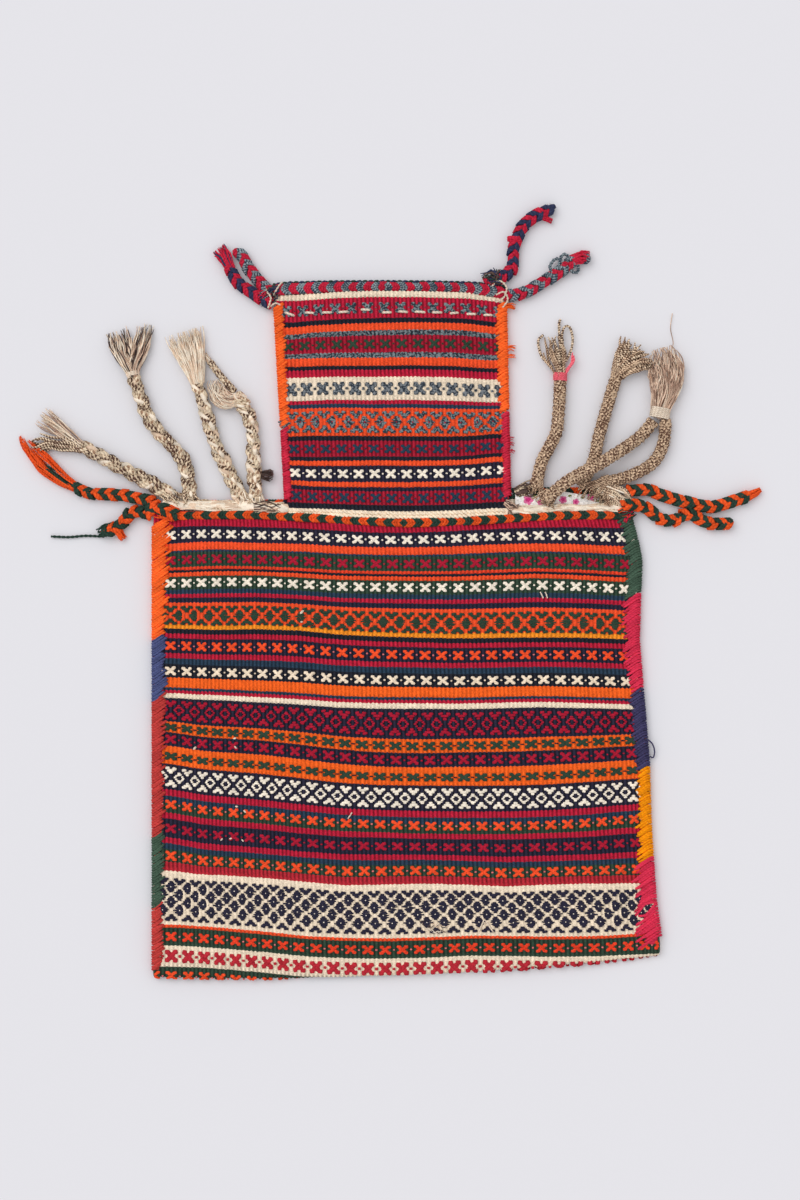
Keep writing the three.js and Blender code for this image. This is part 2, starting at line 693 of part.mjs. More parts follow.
// Left plaits, from the body's edge towards the neck
cord('plait_left_1', 'undyed', PLAIT_DIAMETER, from(LEFT_SHOULDER, [
  [14.4, 11.9, 6.5], [1, 19.5, 5.8], [-10.5, 25.5, 5.5],
  [-29, 35, 5.5], [-44.5, 44, 5.5], [-57.5, 50.5, 5.5],
]));
cord('plait_left_2', 'undyed', PLAIT_DIAMETER, from(LEFT_SHOULDER, [
  [27.5, 9.1, 6.5], [26.5, 21.5, 5.8], [25, 33.5, 5.5], [19, 45, 5.5], [9.5, 55, 5.5],
  [1, 65, 5.5], [-5.5, 76, 5.5], [-11.5, 91.5, 5.5], [-16, 104, 5.5],
]));
cord('plait_left_3', 'undyed', PLAIT_DIAMETER, from(LEFT_SHOULDER, [
  [67.3, 11.3, 6.5], [63, 20.5, 5.8], [56, 34.5, 5.5], [49, 49.5, 5.5],
  [44.5, 63, 5.5], [40, 77.5, 5.5], [36, 91, 5.5], [33.5, 100.5, 5.5],
]));
cord('plait_left_4', 'undyed', PLAIT_DIAMETER, from(LEFT_SHOULDER, [
  [80, 10.9, 6.5], [78.5, 22.5, 5.8], [77.5, 41.5, 5.5],
  [77.5, 57.5, 5.5], [75, 70, 5.5], [70, 81, 5.5],
]));

// Right plaits, from the neck towards the body's edge; the third lies over the second
cord('plait_right_1', 'brown', PLAIT_DIAMETER, from(RIGHT_SHOULDER, [
  [-71, 18.5, 5.5], [-66.5, 38, 5.5], [-60, 50.5, 5.5], [-55, 61.5, 5.5],
  [-53.5, 74, 5.5], [-52.5, 88, 5.5], [-52, 101, 5.5],
]));
cord('plait_right_2', 'brown', PLAIT_DIAMETER, from(RIGHT_SHOULDER, [
  [-35.2, 19.7, 5.5], [-29.5, 31.5, 5.5], [-25, 42, 5.5], [-22.5, 55, 5.5],
  [-18.5, 70, 5.5], [-14, 85.5, 5.5], [-10, 99, 5.5], [-6.5, 108.5, 5.5],
]));
cord('plait_right_3', 'brown', PLAIT_DIAMETER, from(RIGHT_SHOULDER, [
  [-63, 8.9, 11.6], [-51, 19.5, 15.4], [-38, 28, 16.8], [-24, 35, 16.2],
  [-8, 45, 11], [5.5, 54, 6.6], [14.5, 62, 5.5], [20.5, 69.7, 5.5],
]));
cord('plait_right_4', 'brown', PLAIT_DIAMETER, from(RIGHT_SHOULDER, [
  [-19, 22.1, 5.5], [-7, 24.3, 5.5], [5.5, 28.5, 5.5], [17.5, 35, 5.5],
  [25, 43.5, 5.5], [29, 55, 5.5], [30.5, 71, 5.5],
]));

// Braids at the shoulder corners
cord('braid_left_upper', 'orange', BRAID_DIAMETER, from(LEFT_SHOULDER, [
  [-0.7, 6.5, 4.2], [-7, 8.5, 4.1], [-13, 10, 4.1], [-25, 12, 4.1],
  [-37, 13, 4.1], [-48.5, 13.5, 4.1], [-57, 16, 4.1], [-63, 19, 4.1],
]));
cord('braid_left_lower', 'orange', BRAID_DIAMETER, from(LEFT_SHOULDER, [
  [-2.9, -3.3, 4.4], [-9, -1.7, 4.2], [-15, -1, 4.1], [-20, -3, 4.1],
  [-23.5, -7.5, 4.1], [-28.5, -12, 4.1], [-34.5, -15.5, 4.1], [-39, -19, 4.1],
]));
cord('braid_left_lower_tail', 'green', TAIL_DIAMETER, from(LEFT_SHOULDER, [
  [-39.8, -20.1, 1.5], [-54, -19.5, 1.5], [-67, -20.5, 1.5], [-81, -20, 1.5],
]));
cord('braid_right_upper', 'orange', BRAID_DIAMETER, from(RIGHT_SHOULDER, [
  [0.6, 15.5, 4.6], [17, 16, 4.1], [30, 11.5, 4.1], [40, 8.5, 4.1], [50.5, 6, 4.1],
  [59.5, 4, 4.1], [68, 3.5, 4.1], [76.5, 5.5, 4.1], [86.5, 8.5, 4.1], [96, 12, 4.1],
]));
cord('braid_right_lower', 'orange', BRAID_DIAMETER, from(RIGHT_SHOULDER, [
  [-4, 4.3, 7.9], [3, 4.5, 7.7], [9.5, 4, 5.6], [15, 2.3, 4.3], [20.5, -1.5, 4.1],
  [25, -5.5, 4.1], [31, -7.5, 4.1], [38, -7, 4.1], [43.5, -4, 4.1], [48.5, -3, 4.1],
  [54, -4, 4.1], [59.5, -7.5, 4.1], [66.5, -10, 4.1], [74.5, -10, 4.1], [82, -9.5, 4.1],
]));

// Braids at the mouth corners
cord('mouth_braid_left_grey', 'grey', BRAID_DIAMETER, from(MOUTH_LEFT, [
  [-1.9, -7.9, 4.4], [-10.5, -0.5, 4.1], [-15.5, 5, 4.1], [-19, 10, 4.1],
  [-22.5, 15, 4.1], [-26, 21.5, 4.1], [-30, 26, 4.1],
]));
cord('mouth_braid_left_navy', 'navy', BRAID_DIAMETER, from(MOUTH_LEFT, [
  [-2.2, -16.1, 4.4], [-12, -11.1, 4.1], [-21, -5, 4.1], [-27, -1, 4.1],
  [-31, 4, 4.1], [-33.5, 8.5, 4.1], [-35.5, 13, 4.1],
]));
cord('mouth_braid_right_navy', 'navy', BRAID_DIAMETER, from(MOUTH_RIGHT, [
  [-14, -0.7, 4.1], [-4.5, 3, 4.1], [3, 8, 4.1], [7, 13.5, 4.1], [7.5, 20, 4.1],
  [8, 27, 4.1], [10, 33.5, 4.1], [12.5, 40, 4.1], [17, 46.5, 4.1], [24, 52, 4.1],
  [31, 55.5, 4.1], [37.5, 58.5, 4.1],
]));
cord('mouth_braid_right_grey', 'grey', BRAID_DIAMETER, from(MOUTH_RIGHT, [
  [0.3, -9.1, 4.4], [11, -9, 4.1], [18, -6.5, 4.1], [25.5, -2.5, 4.1], [33, 2, 4.1],
  [39.5, 6, 4.1], [46, 10.5, 4.1], [52.5, 16, 4.1], [59.5, 19.5, 4.1], [66.5, 19.5, 4.1],
]));

// Open ends, ties and knots on the cords
bundle('plait_left_1_tassel', 'undyed', from(LEFT_SHOULDER, [
  [-58.2, 50.9, 5.4, 5.1, 5],
  [-73.5, 58, 4.8, 7.8, 4.5],
  [-85, 63, 4, 10, 3.6],
  [-96, 67, 3, 10.5, 2.6],
]));
bundle('plait_left_2_wrap', 'cream', from(LEFT_SHOULDER, [
  [-16.3, 104.7, 5.6, 5.3, 5.3],
  [-17.6, 108.9, 5.6, 5.3, 5.3],
]));
bundle('plait_left_2_tassel', 'undyed', from(LEFT_SHOULDER, [
  [-18, 110.5, 5.4, 4.7, 5],
  [-18.5, 121.5, 4.8, 11.5, 4.5],
  [-18.5, 134.5, 4, 15.5, 3.6],
  [-18.5, 147, 3, 16.4, 2.6],
]));
bundle('plait_left_3_tassel', 'undyed', from(LEFT_SHOULDER, [
  [33.3, 101.3, 5.4, 5.1, 5],
  [29.5, 117.5, 4.8, 8.6, 4.5],
  [26, 130.5, 4, 12.5, 3.6],
  [23.5, 140, 3, 14, 2.6],
]));
bundle('plait_left_4_knot', 'undyed', from(LEFT_SHOULDER, [
  [69.5, 81.9, 5.8, 5.4, 5.4],
  [65, 89, 5.8, 5.4, 5.4],
]));
bundle('plait_left_4_hank', 'undyed', from(LEFT_SHOULDER, [
  [60, 85.5, 5, 5, 4.6],
  [53, 87.5, 5, 6.4, 4.6],
  [46, 89.5, 4, 4.4, 3.6],
]));
bundle('plait_left_4_tail', 'undyed', from(LEFT_SHOULDER, [
  [62.6, 93.3, 4.4, 3.2, 4],
  [53, 105, 4, 3.8, 3.6],
  [43.5, 116.5, 2.6, 2.3, 2.2],
]));
bundle('plait_right_1_tie', 'pink', from(RIGHT_SHOULDER, [
  [-52, 101.5, 5.8, 5.8, 5.5],
  [-52, 108.8, 5.8, 5.8, 5.5],
]));
bundle('plait_right_1_tassel', 'brown', from(RIGHT_SHOULDER, [
  [-52, 109.3, 5.4, 5.1, 5],
  [-53, 123.5, 4.8, 10, 4.5],
  [-53, 134.5, 4, 11.7, 3.6],
  [-52.5, 147, 2.6, 5.5, 2.2],
]));
bundle('plait_right_2_loops', 'brown', from(RIGHT_SHOULDER, [
  [-6.1, 109.5, 5.4, 5.4, 5],
  [-1.5, 120.5, 5.4, 9.2, 5],
  [5, 126, 5, 10.5, 4.6],
  [12, 124, 4.6, 8.4, 4.2],
]));
bundle('plait_right_pair_tie', 'cream', from(RIGHT_SHOULDER, [
  [25.3, 72.7, 5.8, 9.4, 5.5],
  [26.5, 79.9, 5.8, 8, 5.5],
]));
bundle('plait_right_pair_tassel', 'brown', from(RIGHT_SHOULDER, [
  [26.8, 81.2, 5.6, 8, 5.2],
  [30.5, 94, 5.4, 11.6, 5],
  [33.5, 109.5, 4.6, 12.5, 4.2],
  [33, 123.5, 3.4, 9.5, 3],
]));
bundle('braid_left_upper_tassel', 'orange', from(LEFT_SHOULDER, [
  [-63.5, 19.4, 4, 4, 3.6],
  [-75, 27, 3.6, 7.8, 3.2],
  [-87.5, 38, 3.2, 8.6, 2.8],
  [-99, 50, 2.6, 4.5, 2.2],
  [-103.5, 57.5, 1.6, 2, 1.2],
]));
bundle('braid_right_upper_tip', 'orange', from(RIGHT_SHOULDER, [
  [97.2, 12.7, 4, 3.5, 3.4],
  [102, 15.3, 2, 1.4, 1.4],
]));
bundle('mouth_braid_left_navy_tassel', 'crimson', from(MOUTH_LEFT, [
  [-35.8, 13.6, 4, 3.6, 3.6],
  [-40, 21.5, 3.4, 5.5, 3],
  [-44, 26, 2.6, 6.2, 2.2],
]));

export default group;
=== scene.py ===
# Looks of the salt bag: a flatwoven cloth folded into a pouch with a neck, brocaded in bands, whipped
# along its sides, edged with twined chains and hung with plaits of undyed wool and coloured braids.
# It lies flat on a pale floor under a camera that looks straight down.

import math
import random

import bpy
import numpy as np
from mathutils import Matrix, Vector


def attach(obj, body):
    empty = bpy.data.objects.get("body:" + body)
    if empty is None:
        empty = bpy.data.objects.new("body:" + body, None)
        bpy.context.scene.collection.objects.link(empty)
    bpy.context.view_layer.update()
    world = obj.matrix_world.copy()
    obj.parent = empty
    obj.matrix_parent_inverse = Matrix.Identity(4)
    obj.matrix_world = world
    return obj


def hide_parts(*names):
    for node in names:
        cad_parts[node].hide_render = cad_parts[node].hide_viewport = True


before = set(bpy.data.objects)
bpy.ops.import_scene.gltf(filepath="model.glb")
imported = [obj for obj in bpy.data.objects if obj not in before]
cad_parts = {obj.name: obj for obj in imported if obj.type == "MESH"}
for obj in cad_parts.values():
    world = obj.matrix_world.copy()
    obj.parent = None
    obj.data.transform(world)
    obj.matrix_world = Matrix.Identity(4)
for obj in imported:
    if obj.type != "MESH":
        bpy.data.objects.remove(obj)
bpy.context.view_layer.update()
rng = random.Random(11)
MM = 0.001
FLOOR_CLEARANCE = 0.05

# Shape of the bag, as in the CAD part, in millimetres
BODY_LEFT, BODY_TOP_RIGHT, BODY_FLARE = -197.0, 172.0, 25.0
BODY_MEAN_WIDTH = BODY_TOP_RIGHT + BODY_FLARE / 2 - BODY_LEFT
NECK_BASE_LEFT, NECK_BASE_RIGHT = -93.0, 80.0
NECK_TOP_LEFT, NECK_TOP_RIGHT = -103.0, 76.0
SHOULDER_Y, MOUTH_Y, BOTTOM_Y = 93.5, 271.5, -271.5
FLARE_END_Y = -241.25
BOTTOM_RISE, BOTTOM_LOW_SHARE = 18.0, 0.2
WEFT_SAG = 6.0
CLOTH_THICKNESS = 2.0
BACK_OUTER_Z, BACK_INNER_Z = 1.5, 3.5
SEAM_GAP, SHOULDER_GAP, BELLY_GAP = 0.5, 1.4, 6.4
SEAM_RIM, BELLY_RUN = 16.0, 30.0
FOLD_RADIUS, FOLD_MIDDLE_Z = 2.25, 3.75
FAR_FROM_FOLD = 999.0
SEAM_TOP_Z = 6.0
BACK_RISE_RIGHT = 12.0
BACK_MOUTH_Y, BACK_MOUTH_DIP = 264.5, 4.0

# How far the right side stands out from a straight edge, by height
EDGE_Y = [-260, -245, -210, -155, -101, -7, 30, 55, 70, 93.5]
EDGE_OUT = [0, 0, -2.3, -2.0, 0.3, -0.4, 3.5, 6.3, 4.5, 0]

# The weave: two columns of the mesh make one rib, and eight make one repeat of a brocaded motif, whose
# stitches are drawn for columns one cell wide
COLUMNS = 240
NECK_FIRST, NECK_LAST = 67, 179
MOTIF_START, REPEAT, CELL = 6, 8, 1.6
ROW_STEP = 3.2
BACK_ROWS, BACK_NECK_ROWS = 28, 14
RIB_RELIEF, BACK_RIB_RELIEF = 0.38, 0.2
SCALLOP = 0.32
BROCADE_LIFT, DOT_LIFT = 0.45, 0.35
STITCH_HEIGHT = 0.6

# Colours of the woven wools and of the printed cotton, the second colours of two marled wools, and the
# colours of the yarns that whip, chain and braid
CLOTH_COLOURS = {
    "orange": (248, 84, 44), "bright_orange": (255, 104, 36), "light_orange": (255, 150, 40),
    "red_orange": (240, 70, 42), "crimson": (196, 35, 62), "dark_red": (190, 46, 58),
    "deep_red": (174, 33, 55), "navy": (46, 44, 62), "dark": (38, 40, 50), "teal": (46, 66, 86),
    "green": (54, 74, 60), "grey": (126, 138, 142), "slate": (124, 129, 134), "cream": (248, 228, 202),
    "white": (250, 238, 220), "pink": (226, 120, 120), "cotton": (250, 246, 242),
    "cotton_pink": (236, 120, 170), "cotton_rose": (214, 60, 130), "leaf": (120, 128, 70),
}
MARLED = {"grey": (50, 60, 70), "slate": (52, 60, 70)}
WHIP_COLOURS = {
    "whip_orange_yarn": (255, 108, 44), "whip_blue_yarn": (80, 88, 132), "whip_rust_yarn": (196, 66, 62),
    "whip_green_yarn": (72, 95, 79), "whip_rose_yarn": (222, 53, 84), "whip_navy_yarn": (68, 64, 100),
    "whip_yellow_yarn": (246, 150, 12), "neck_rose_yarn": (210, 46, 72),
}
BRAID_COLOURS = {
    "braid_orange_yarn": (244, 92, 40), "braid_green_yarn": (48, 70, 60), "braid_red_yarn": (204, 40, 66),
    "braid_navy_yarn": (56, 62, 92), "thread_yarn": (244, 226, 206), "tie_pink_yarn": (250, 112, 128),
}
ORANGE, GREEN, RED, NAVY, GREY = [f"braid_{dye}_yarn" for dye in ("orange", "green", "red", "navy", "grey")]
THREAD = "thread_yarn"

# How much painted highlight lightens the ribs and painted shade darkens the hollows between them
RIB_HIGHLIGHT_AND_SHADE = {"orange": 0.2, "bright_orange": 0.2, "light_orange": 0.2, "red_orange": 0.2, "cream": 0.12,
             "grey": 0.26, "plain": 0.0}
OTHER_RIB_HIGHLIGHT_AND_SHADE = 0.4
BROCADE_SHADE = {"crimson": 0.78, "green": 0.9, "teal": 0.9}


# Motifs: each stitch has its column in the repeat, its height above the middle, its lean, half length and
# half width; a sixth value is another yarn

def cross(high, wide=8.4, dot=(0.75, 0.65), dot_yarn=None, fat=0.17):
    """Four lobes joined to a middle, and a dot between one cross and the next."""
    long, tall = 0.19 * wide, fat * high
    out, up = (wide / 2 - long) / CELL, high / 2 - tall
    stitches = [(2.0, 0.0, 0.0, long, tall), (6.0, 0.0, 0.0, *dot, dot_yarn)]
    for x, y in ((-1, -1), (-1, 1), (1, -1), (1, 1)):
        stitches += [(2 + x * out, y * up, 0.15 * x * y, long, tall),
                     (2 + 0.5 * x * out, 0.5 * y * up, 0.45 * x * y, long, tall)]
    return stitches


def diamond(x, up, wide, high, eye=False):
    """Steps that widen to the middle; with an eye the middle is left open."""
    tall = 0.085 * high
    rows = [(0.43, 0.15), (0.29, 0.27)] + ([] if eye else [(0.15, 0.39)])
    stitches = [(x, up + side * y * high, 0.0, long * wide, tall) for y, long in rows for side in (-1, 1)]
    if not eye:
        return stitches + [(x, up, 0.0, 0.5 * wide, tall)]
    for side in (-1, 1):
        stitches.append((x + side * 0.39 * wide / CELL, up, 0.0, 0.12 * wide, 0.1 * high))
        for y in (-0.15, 0.15):
            stitches.append((x + side * 0.28 * wide / CELL, up + y * high, 0.0, 0.12 * wide, tall))
    return stitches


def wedge(x, up, wide, high, way):
    """Half a diamond with a notch in its broad side; way is 1 for a broad top."""
    tall = 0.22 * high
    broad = [(x + side * 0.32 * wide / CELL, up + way * 0.3 * high, -0.15 * side * way, 0.2 * wide, tall)
             for side in (-1, 1)]
    return broad + [(x, up, 0.0, 0.37 * wide, tall),
                    (x, up - way * 0.36 * high, 0.0, 0.17 * wide, 0.2 * high)]


def diamonds(high, wide, eye=False, eye_yarn=None):
    """A row of diamonds between two rows of half diamonds."""
    stitches = wedge(2, 0.35 * high, wide, 0.33 * high, 1) + diamond(6, 0.0, wide, 0.57 * high, eye)
    stitches += wedge(2, -0.35 * high, wide, 0.33 * high, -1)
    return stitches + ([(6.0, 0.0, 0.0, 0.55, 0.6, eye_yarn)] if eye_yarn else [])


CROSS, PINK_CROSS, TALL_CROSS = cross(6.8), cross(7.0, dot_yarn="pink"), cross(8.6, 8.6, (0.5, 0.5))
EYE_CROSS = cross(6.2, 9.2, (1.5, 0.5), "dark", 0.23)
FAT_CROSS = cross(10.2, 9.4, (1.15, 1.05), None, 0.185)
DIAMOND, TALL_DIAMOND = diamonds(15.2, 8.6, True), diamonds(15.0, 8.4, True)
LATTICE, NECK_LATTICE = diamonds(15.0, 9.8), diamonds(16.2, 9.8, False, "crimson")
BIG_LATTICE = wedge(6, 14.3, 9.2, 4.8, 1) + wedge(2, -14.1, 9.2, 4.8, -1)
for x, up in [(2, 9.9), (6, 4.0), (2, -1.9), (6, -8.1)]:
    BIG_LATTICE += diamond(x, up, 9.5, 8.9) + [(x, up, 0.0, 0.45, 0.45, "white")]

# Bands from the top: height as woven and yarn, and for a brocaded band its motif and the motif's yarn
NECK_TOP, BODY_TOP = 263.2, 84.9
NECK_BANDS = [
    (4.7, "cream"), (16.4, "crimson", TALL_CROSS, "grey"), (3.9, "dark"), (5.5, "orange"), (3.9, "grey"),
    (12.5, "deep_red", CROSS, "green"), (3.9, "grey"), (6.2, "orange"), (3.1, "dark"), (5.5, "crimson"),
    (17.9, "cream", FAT_CROSS, "slate"), (3.1, "crimson"), (3.1, "teal"), (3.1, "orange"),
    (15.6, "orange", NECK_LATTICE, "grey"), (3.1, "orange"), (3.9, "dark"),
    (12.5, "deep_red", CROSS, "teal"), (3.1, "dark"), (3.9, "orange"), (12.5, "navy", CROSS, "white"),
    (3.9, "orange"), (3.1, "navy"), (9.9, "deep_red", CROSS, "teal"), (4.4, "dark"),
]
BODY_BANDS = [
    (3.4, "crimson"), (12.4, "navy", CROSS, "white"), (5.9, "orange"), (1.6, "teal"),
    (11.3, "green", CROSS, "crimson"), (2.2, "red_orange"), (2.0, "dark"), (3.1, "orange"),
    (10.5, "green", CROSS, "white"), (3.6, "teal"), (3.1, "crimson"), (3.9, "navy"), (3.1, "orange"),
    (14.7, "orange", LATTICE, "green"), (3.6, "light_orange"), (3.9, "dark"), (3.7, "crimson"),
    (11.7, "navy", PINK_CROSS, "orange"), (3.9, "crimson"), (4.7, "teal"), (10.5, "dark", CROSS, "cream"),
    (7.8, "bright_orange"), (2.2, "teal"), (2.5, "crimson"), (3.9, "cream"),
    (20.3, "navy", DIAMOND, "crimson"), (9.2, "bright_orange", EYE_CROSS, "green"),
    (10.9, "navy", CROSS, "crimson"), (4.0, "bright_orange"), (7.8, "bright_orange", EYE_CROSS, "green"),
    (2.5, "bright_orange"), (20.2, "navy", TALL_DIAMOND, "white"), (5.0, "crimson"),
    (13.4, "teal/green/green", PINK_CROSS, "orange"), (4.6, "crimson"), (14.6, "navy", CROSS, "crimson"),
    (4.6, "crimson"), (4.0, "teal"), (8.8, "green", PINK_CROSS, "orange"), (6.2, "dark_red"), (4.9, "cream"),
    (33.4, "cream", BIG_LATTICE, "navy"), (2.8, "cream"), (2.3, "orange"),
    (14.0, "green", PINK_CROSS, "red_orange"), (16.5, "cream", FAT_CROSS, "dark_red"),
    (14.0, "green", PINK_CROSS, "orange"),
]
BACK_BANDS = ["crimson", "navy", "crimson", "orange", "navy", "crimson", "green", "crimson"]
BACK_NECK_BANDS = ["navy", "crimson", "orange", "crimson"]

# How the weft lines drop across the cloth, in millimetres, at given levels and places
BODY_SAG_X = [-188.4, -161.1, -145.5, -114.3, -83.1, -51.9, -20.7, 10.5, 41.7, 72.9, 104.1, 135.3, 178.2]
BODY_SAG = {
    89.3: [0.5, 0, 0, 0.8, 1.6, 4.0, 6.0, 6.0, 4.4, 2.7, 1.2, 0.4, 0],
    70.6: [1.6, 0, 0, 1.0, 1.4, 3.4, 4.3, 4.3, 3.5, 2.0, 1.2, 1.8, 3.5],
    39.4: [1.4, 0.6, 0, 0, 1.6, 3.5, 3.9, 4.3, 4.3, 3.5, 2.2, 3.3, 5.6],
    0.4: [-1.2, -0.4, 0, -0.6, 0.4, 3.5, 5.1, 5.9, 6.6, 6.2, 5.9, 5.9, 7.4],
    -51.9: [-1.6, -0.4, 0, 1.6, 3.1, 5.5, 6.2, 6.2, 6.6, 5.9, 5.1, 5.9, 7.4],
    -85.4: [-5.1, -1.2, 0, 1.6, 5.1, 9.0, 11.3, 12.1, 11.3, 10.9, 9.8, 8.2, 6.2],
    -116.6: [-5.5, -1.2, 0, 2.7, 6.2, 9.8, 11.3, 11.7, 12.1, 12.1, 11.3, 9.4, 6.6],
    -143.9: [-5.9, -1.6, 0, 2.7, 6.2, 9.0, 9.8, 11.3, 11.3, 11.3, 10.5, 9.0, 5.9],
    -171.2: [-5.9, -1.2, 0, 2.3, 5.1, 7.4, 7.4, 7.0, 7.8, 9.0, 8.2, 7.4, 5.9],
    -194.6: [-2.7, 0, 0, 2.0, 5.1, 8.2, 7.4, 6.6, 7.4, 9.0, 7.4, 6.6, 7.4],
    -233.6: [-2.0, -1.2, 0, 2.7, 6.2, 7.8, 8.2, 7.4, 5.9, 6.2, 7.0, 6.6, 4.7],
}
NECK_SAG_X = [-89.3, -75.3, -59.7, -44.1, -28.5, 2.7, 33.9, 49.5, 65.1, 72.9]
NECK_SAG = {
    257.8: [1.2, 0.8, 0, -0.8, -1.2, -1.2, -0.4, -0.4, 1.2, 2.7],
    234.4: [2.0, 0.4, 0, -0.8, -1.2, -1.9, -1.6, -1.2, 0.8, 1.6],
    211.0: [0.4, 0, 0, 0, 0, -0.4, 0, 0.8, 1.6, 1.6],
    183.7: [0.8, 0.4, 0, 0, 0.4, 0, 0.8, 1.2, 2.0, 2.0],
    156.4: [0.4, -0.4, 0, 0, 0.4, 0.4, 0.8, 0.4, -1.2, -1.2],
    133.0: [-0.4, 0, 0, 0, -0.4, 0, -0.4, -1.2, -3.1, -3.5],
    109.6: [-2.0, -0.8, 0, 0.4, 0.4, 0.4, -0.4, -1.2, -2.7, -3.1],
    90.9: [-0.9, -0.5, 0, 0.8, 1.6, 2.3, 1.7, 0.8, 0, -0.4],
}
SAG_STEPS, SAG_SMOOTH = 233, 13

# Where the columns of the body lie across it: the repeats are narrower at the left
SPREAD_COLUMNS = [0, 16, 72, 120, 168, 208, 232, 240]
SPREAD_SHARES = [0, 0.068, 0.287, 0.492, 0.698, 0.8717, 0.973, 1]


# Materials

MATERIALS = {}
FIBRE_SCALE, WEAVE_SCALE, MARL_SCALE, MOTTLE_SCALE = 1400.0, 950.0, 620.0, 160.0
NOISE_RANGE = 0.3, 0.7


def linear(rgb):
    return [((c / 255 + 0.055) / 1.055) ** 2.4 if c > 10 else c / 255 / 12.92 for c in rgb]


def wool(key, rgb, second=None, plies=0, pitch=4.0, share=0.5, groove_shade=0.62, fleck=4.0):
    """Matt wool: fibres in relief and a mottled dye; a plied yarn also shows its twist along its length,
    with painted shade in the grooves between its plies.
    """
    material = MATERIALS[key] = bpy.data.materials.new(key)
    material.use_nodes = True
    tree = material.node_tree
    tree.nodes.clear()

    def node(kind, inputs=(), **values):
        made = tree.nodes.new(kind)
        for name, value in values.items():
            setattr(made, name, value)
        for name, value in dict(inputs).items():
            if isinstance(value, (int, float)):
                made.inputs[name].default_value = value
            elif isinstance(value, list):
                made.inputs[name].default_value = [*value, 1.0]
            else:
                tree.links.new(value, made.inputs[name])
        return made

    def calc(operation, *values):
        return node("ShaderNodeMath", enumerate(values), operation=operation).outputs[0]

    def mix(a, b, factor, blend="MIX"):
        return node("ShaderNodeMix", {0: factor, 6: a, 7: b}, data_type="RGBA", blend_type=blend).outputs[2]

    def spread(*values):
        return node("ShaderNodeMapRange", enumerate(values)).outputs[0]

    def noise(scale, detail=2.0):
        values = {"Scale": scale, "Detail": detail, "Vector": place}
        return node("ShaderNodeTexNoise", values).outputs["Fac"]

    place = node("ShaderNodeTexCoord").outputs["Object"]
    fibre, mottle = noise(FIBRE_SCALE if plies else WEAVE_SCALE, 3.0), noise(MOTTLE_SCALE)
    tone = node("ShaderNodeAttribute", attribute_name="tone").outputs["Fac"]
    lively = (0.86, 1.1) if plies else (0.72, 1.24)
    shade = calc("MULTIPLY", tone, spread(fibre, *NOISE_RANGE, *lively))
    shade = calc("MULTIPLY", shade, spread(mottle, *NOISE_RANGE, 0.9, 1.08))
    height = fibre
    colour = linear(rgb)
    if plies:
        uv = node("ShaderNodeUVMap", uv_map="yarn").outputs["UV"]
        yarn = node("ShaderNodeSeparateXYZ", {0: uv}).outputs
        turn = calc("ADD", calc("MULTIPLY", yarn["X"], 1 / pitch), yarn["Y"])
        ridge = calc("SINE", calc("MULTIPLY", turn, 2 * math.pi * plies))
        # Painted shade darkens the grooves between the plies
        shade = calc("MULTIPLY", shade, spread(ridge, -1.0, 0.2, groove_shade, 1.0))
        height = calc("ADD", height, calc("MULTIPLY", ridge, 0.9))
        if second:
            ply = calc("FLOOR", calc("MULTIPLY", turn, plies))
            swap = calc("ADD", calc("MULTIPLY", yarn["X"], 2 * math.pi / fleck), calc("MULTIPLY", ply, 2.4))
            swap = calc("ADD", calc("SINE", swap), spread(mottle, *NOISE_RANGE, -0.9, 0.9))
            swap = spread(swap, 1 - 2 * share - 0.15, 1 - 2 * share + 0.15, 0.0, 1.0)
            colour = mix(colour, linear(second), swap)
    elif second:
        colour = mix(colour, linear(second), spread(noise(MARL_SCALE), 0.46, 0.54, 0.0, 1.0))
    grey = node("ShaderNodeCombineColor", {0: shade, 1: shade, 2: shade}).outputs[0]
    bump = node("ShaderNodeBump", {"Strength": 0.5, "Distance": 0.0004, "Height": height}).outputs[0]
    surface = node("ShaderNodeBsdfPrincipled", {
        "Roughness": 0.95, "Specular IOR Level": 0.1, "Normal": bump,
        "Base Color": mix(colour, grey, 1.0, "MULTIPLY"),
    })
    node("ShaderNodeOutputMaterial", {0: surface.outputs[0]})


for yarn, colour in CLOTH_COLOURS.items():
    wool(yarn, colour, MARLED.get(yarn))
for colours, groove_shade in ((WHIP_COLOURS, 0.88), (BRAID_COLOURS, 0.74)):
    for yarn, colour in colours.items():
        wool(yarn, colour, plies=2, pitch=5.0, groove_shade=groove_shade)
# Yarns of two colours: plies, pitch of the twist, share of the second colour, painted shade in the grooves,
# fleck
for yarn, *values in [
    (GREY, (150, 162, 168), (60, 74, 88), 2, 4.0, 0.5, 0.7, 2.6),
    ("marl_light", (248, 226, 196), (176, 140, 114), 4, 10.0, 0.2, 0.66, 5.0),
    ("marl_mixed", (240, 216, 186), (104, 76, 64), 4, 10.0, 0.5, 0.62, 3.8),
    ("marl_brown", (236, 204, 172), (116, 86, 70), 5, 12.0, 0.5, 0.66, 3.0),
    ("marl_strand", (246, 220, 190), (100, 74, 60), 2, 7.0, 0.5, 0.68, 2.6),
    ("dark_fuzz", (104, 84, 78), (62, 50, 48), 2, 30.0, 0.4, 0.8, 30.0),
    ("hair_light", (255, 240, 220), (232, 204, 178), 2, 40.0, 0.3, 0.82, 60.0),
    ("hair_brown", (244, 214, 190), (176, 144, 126), 2, 40.0, 0.45, 0.82, 60.0),
]:
    wool(yarn, *values)


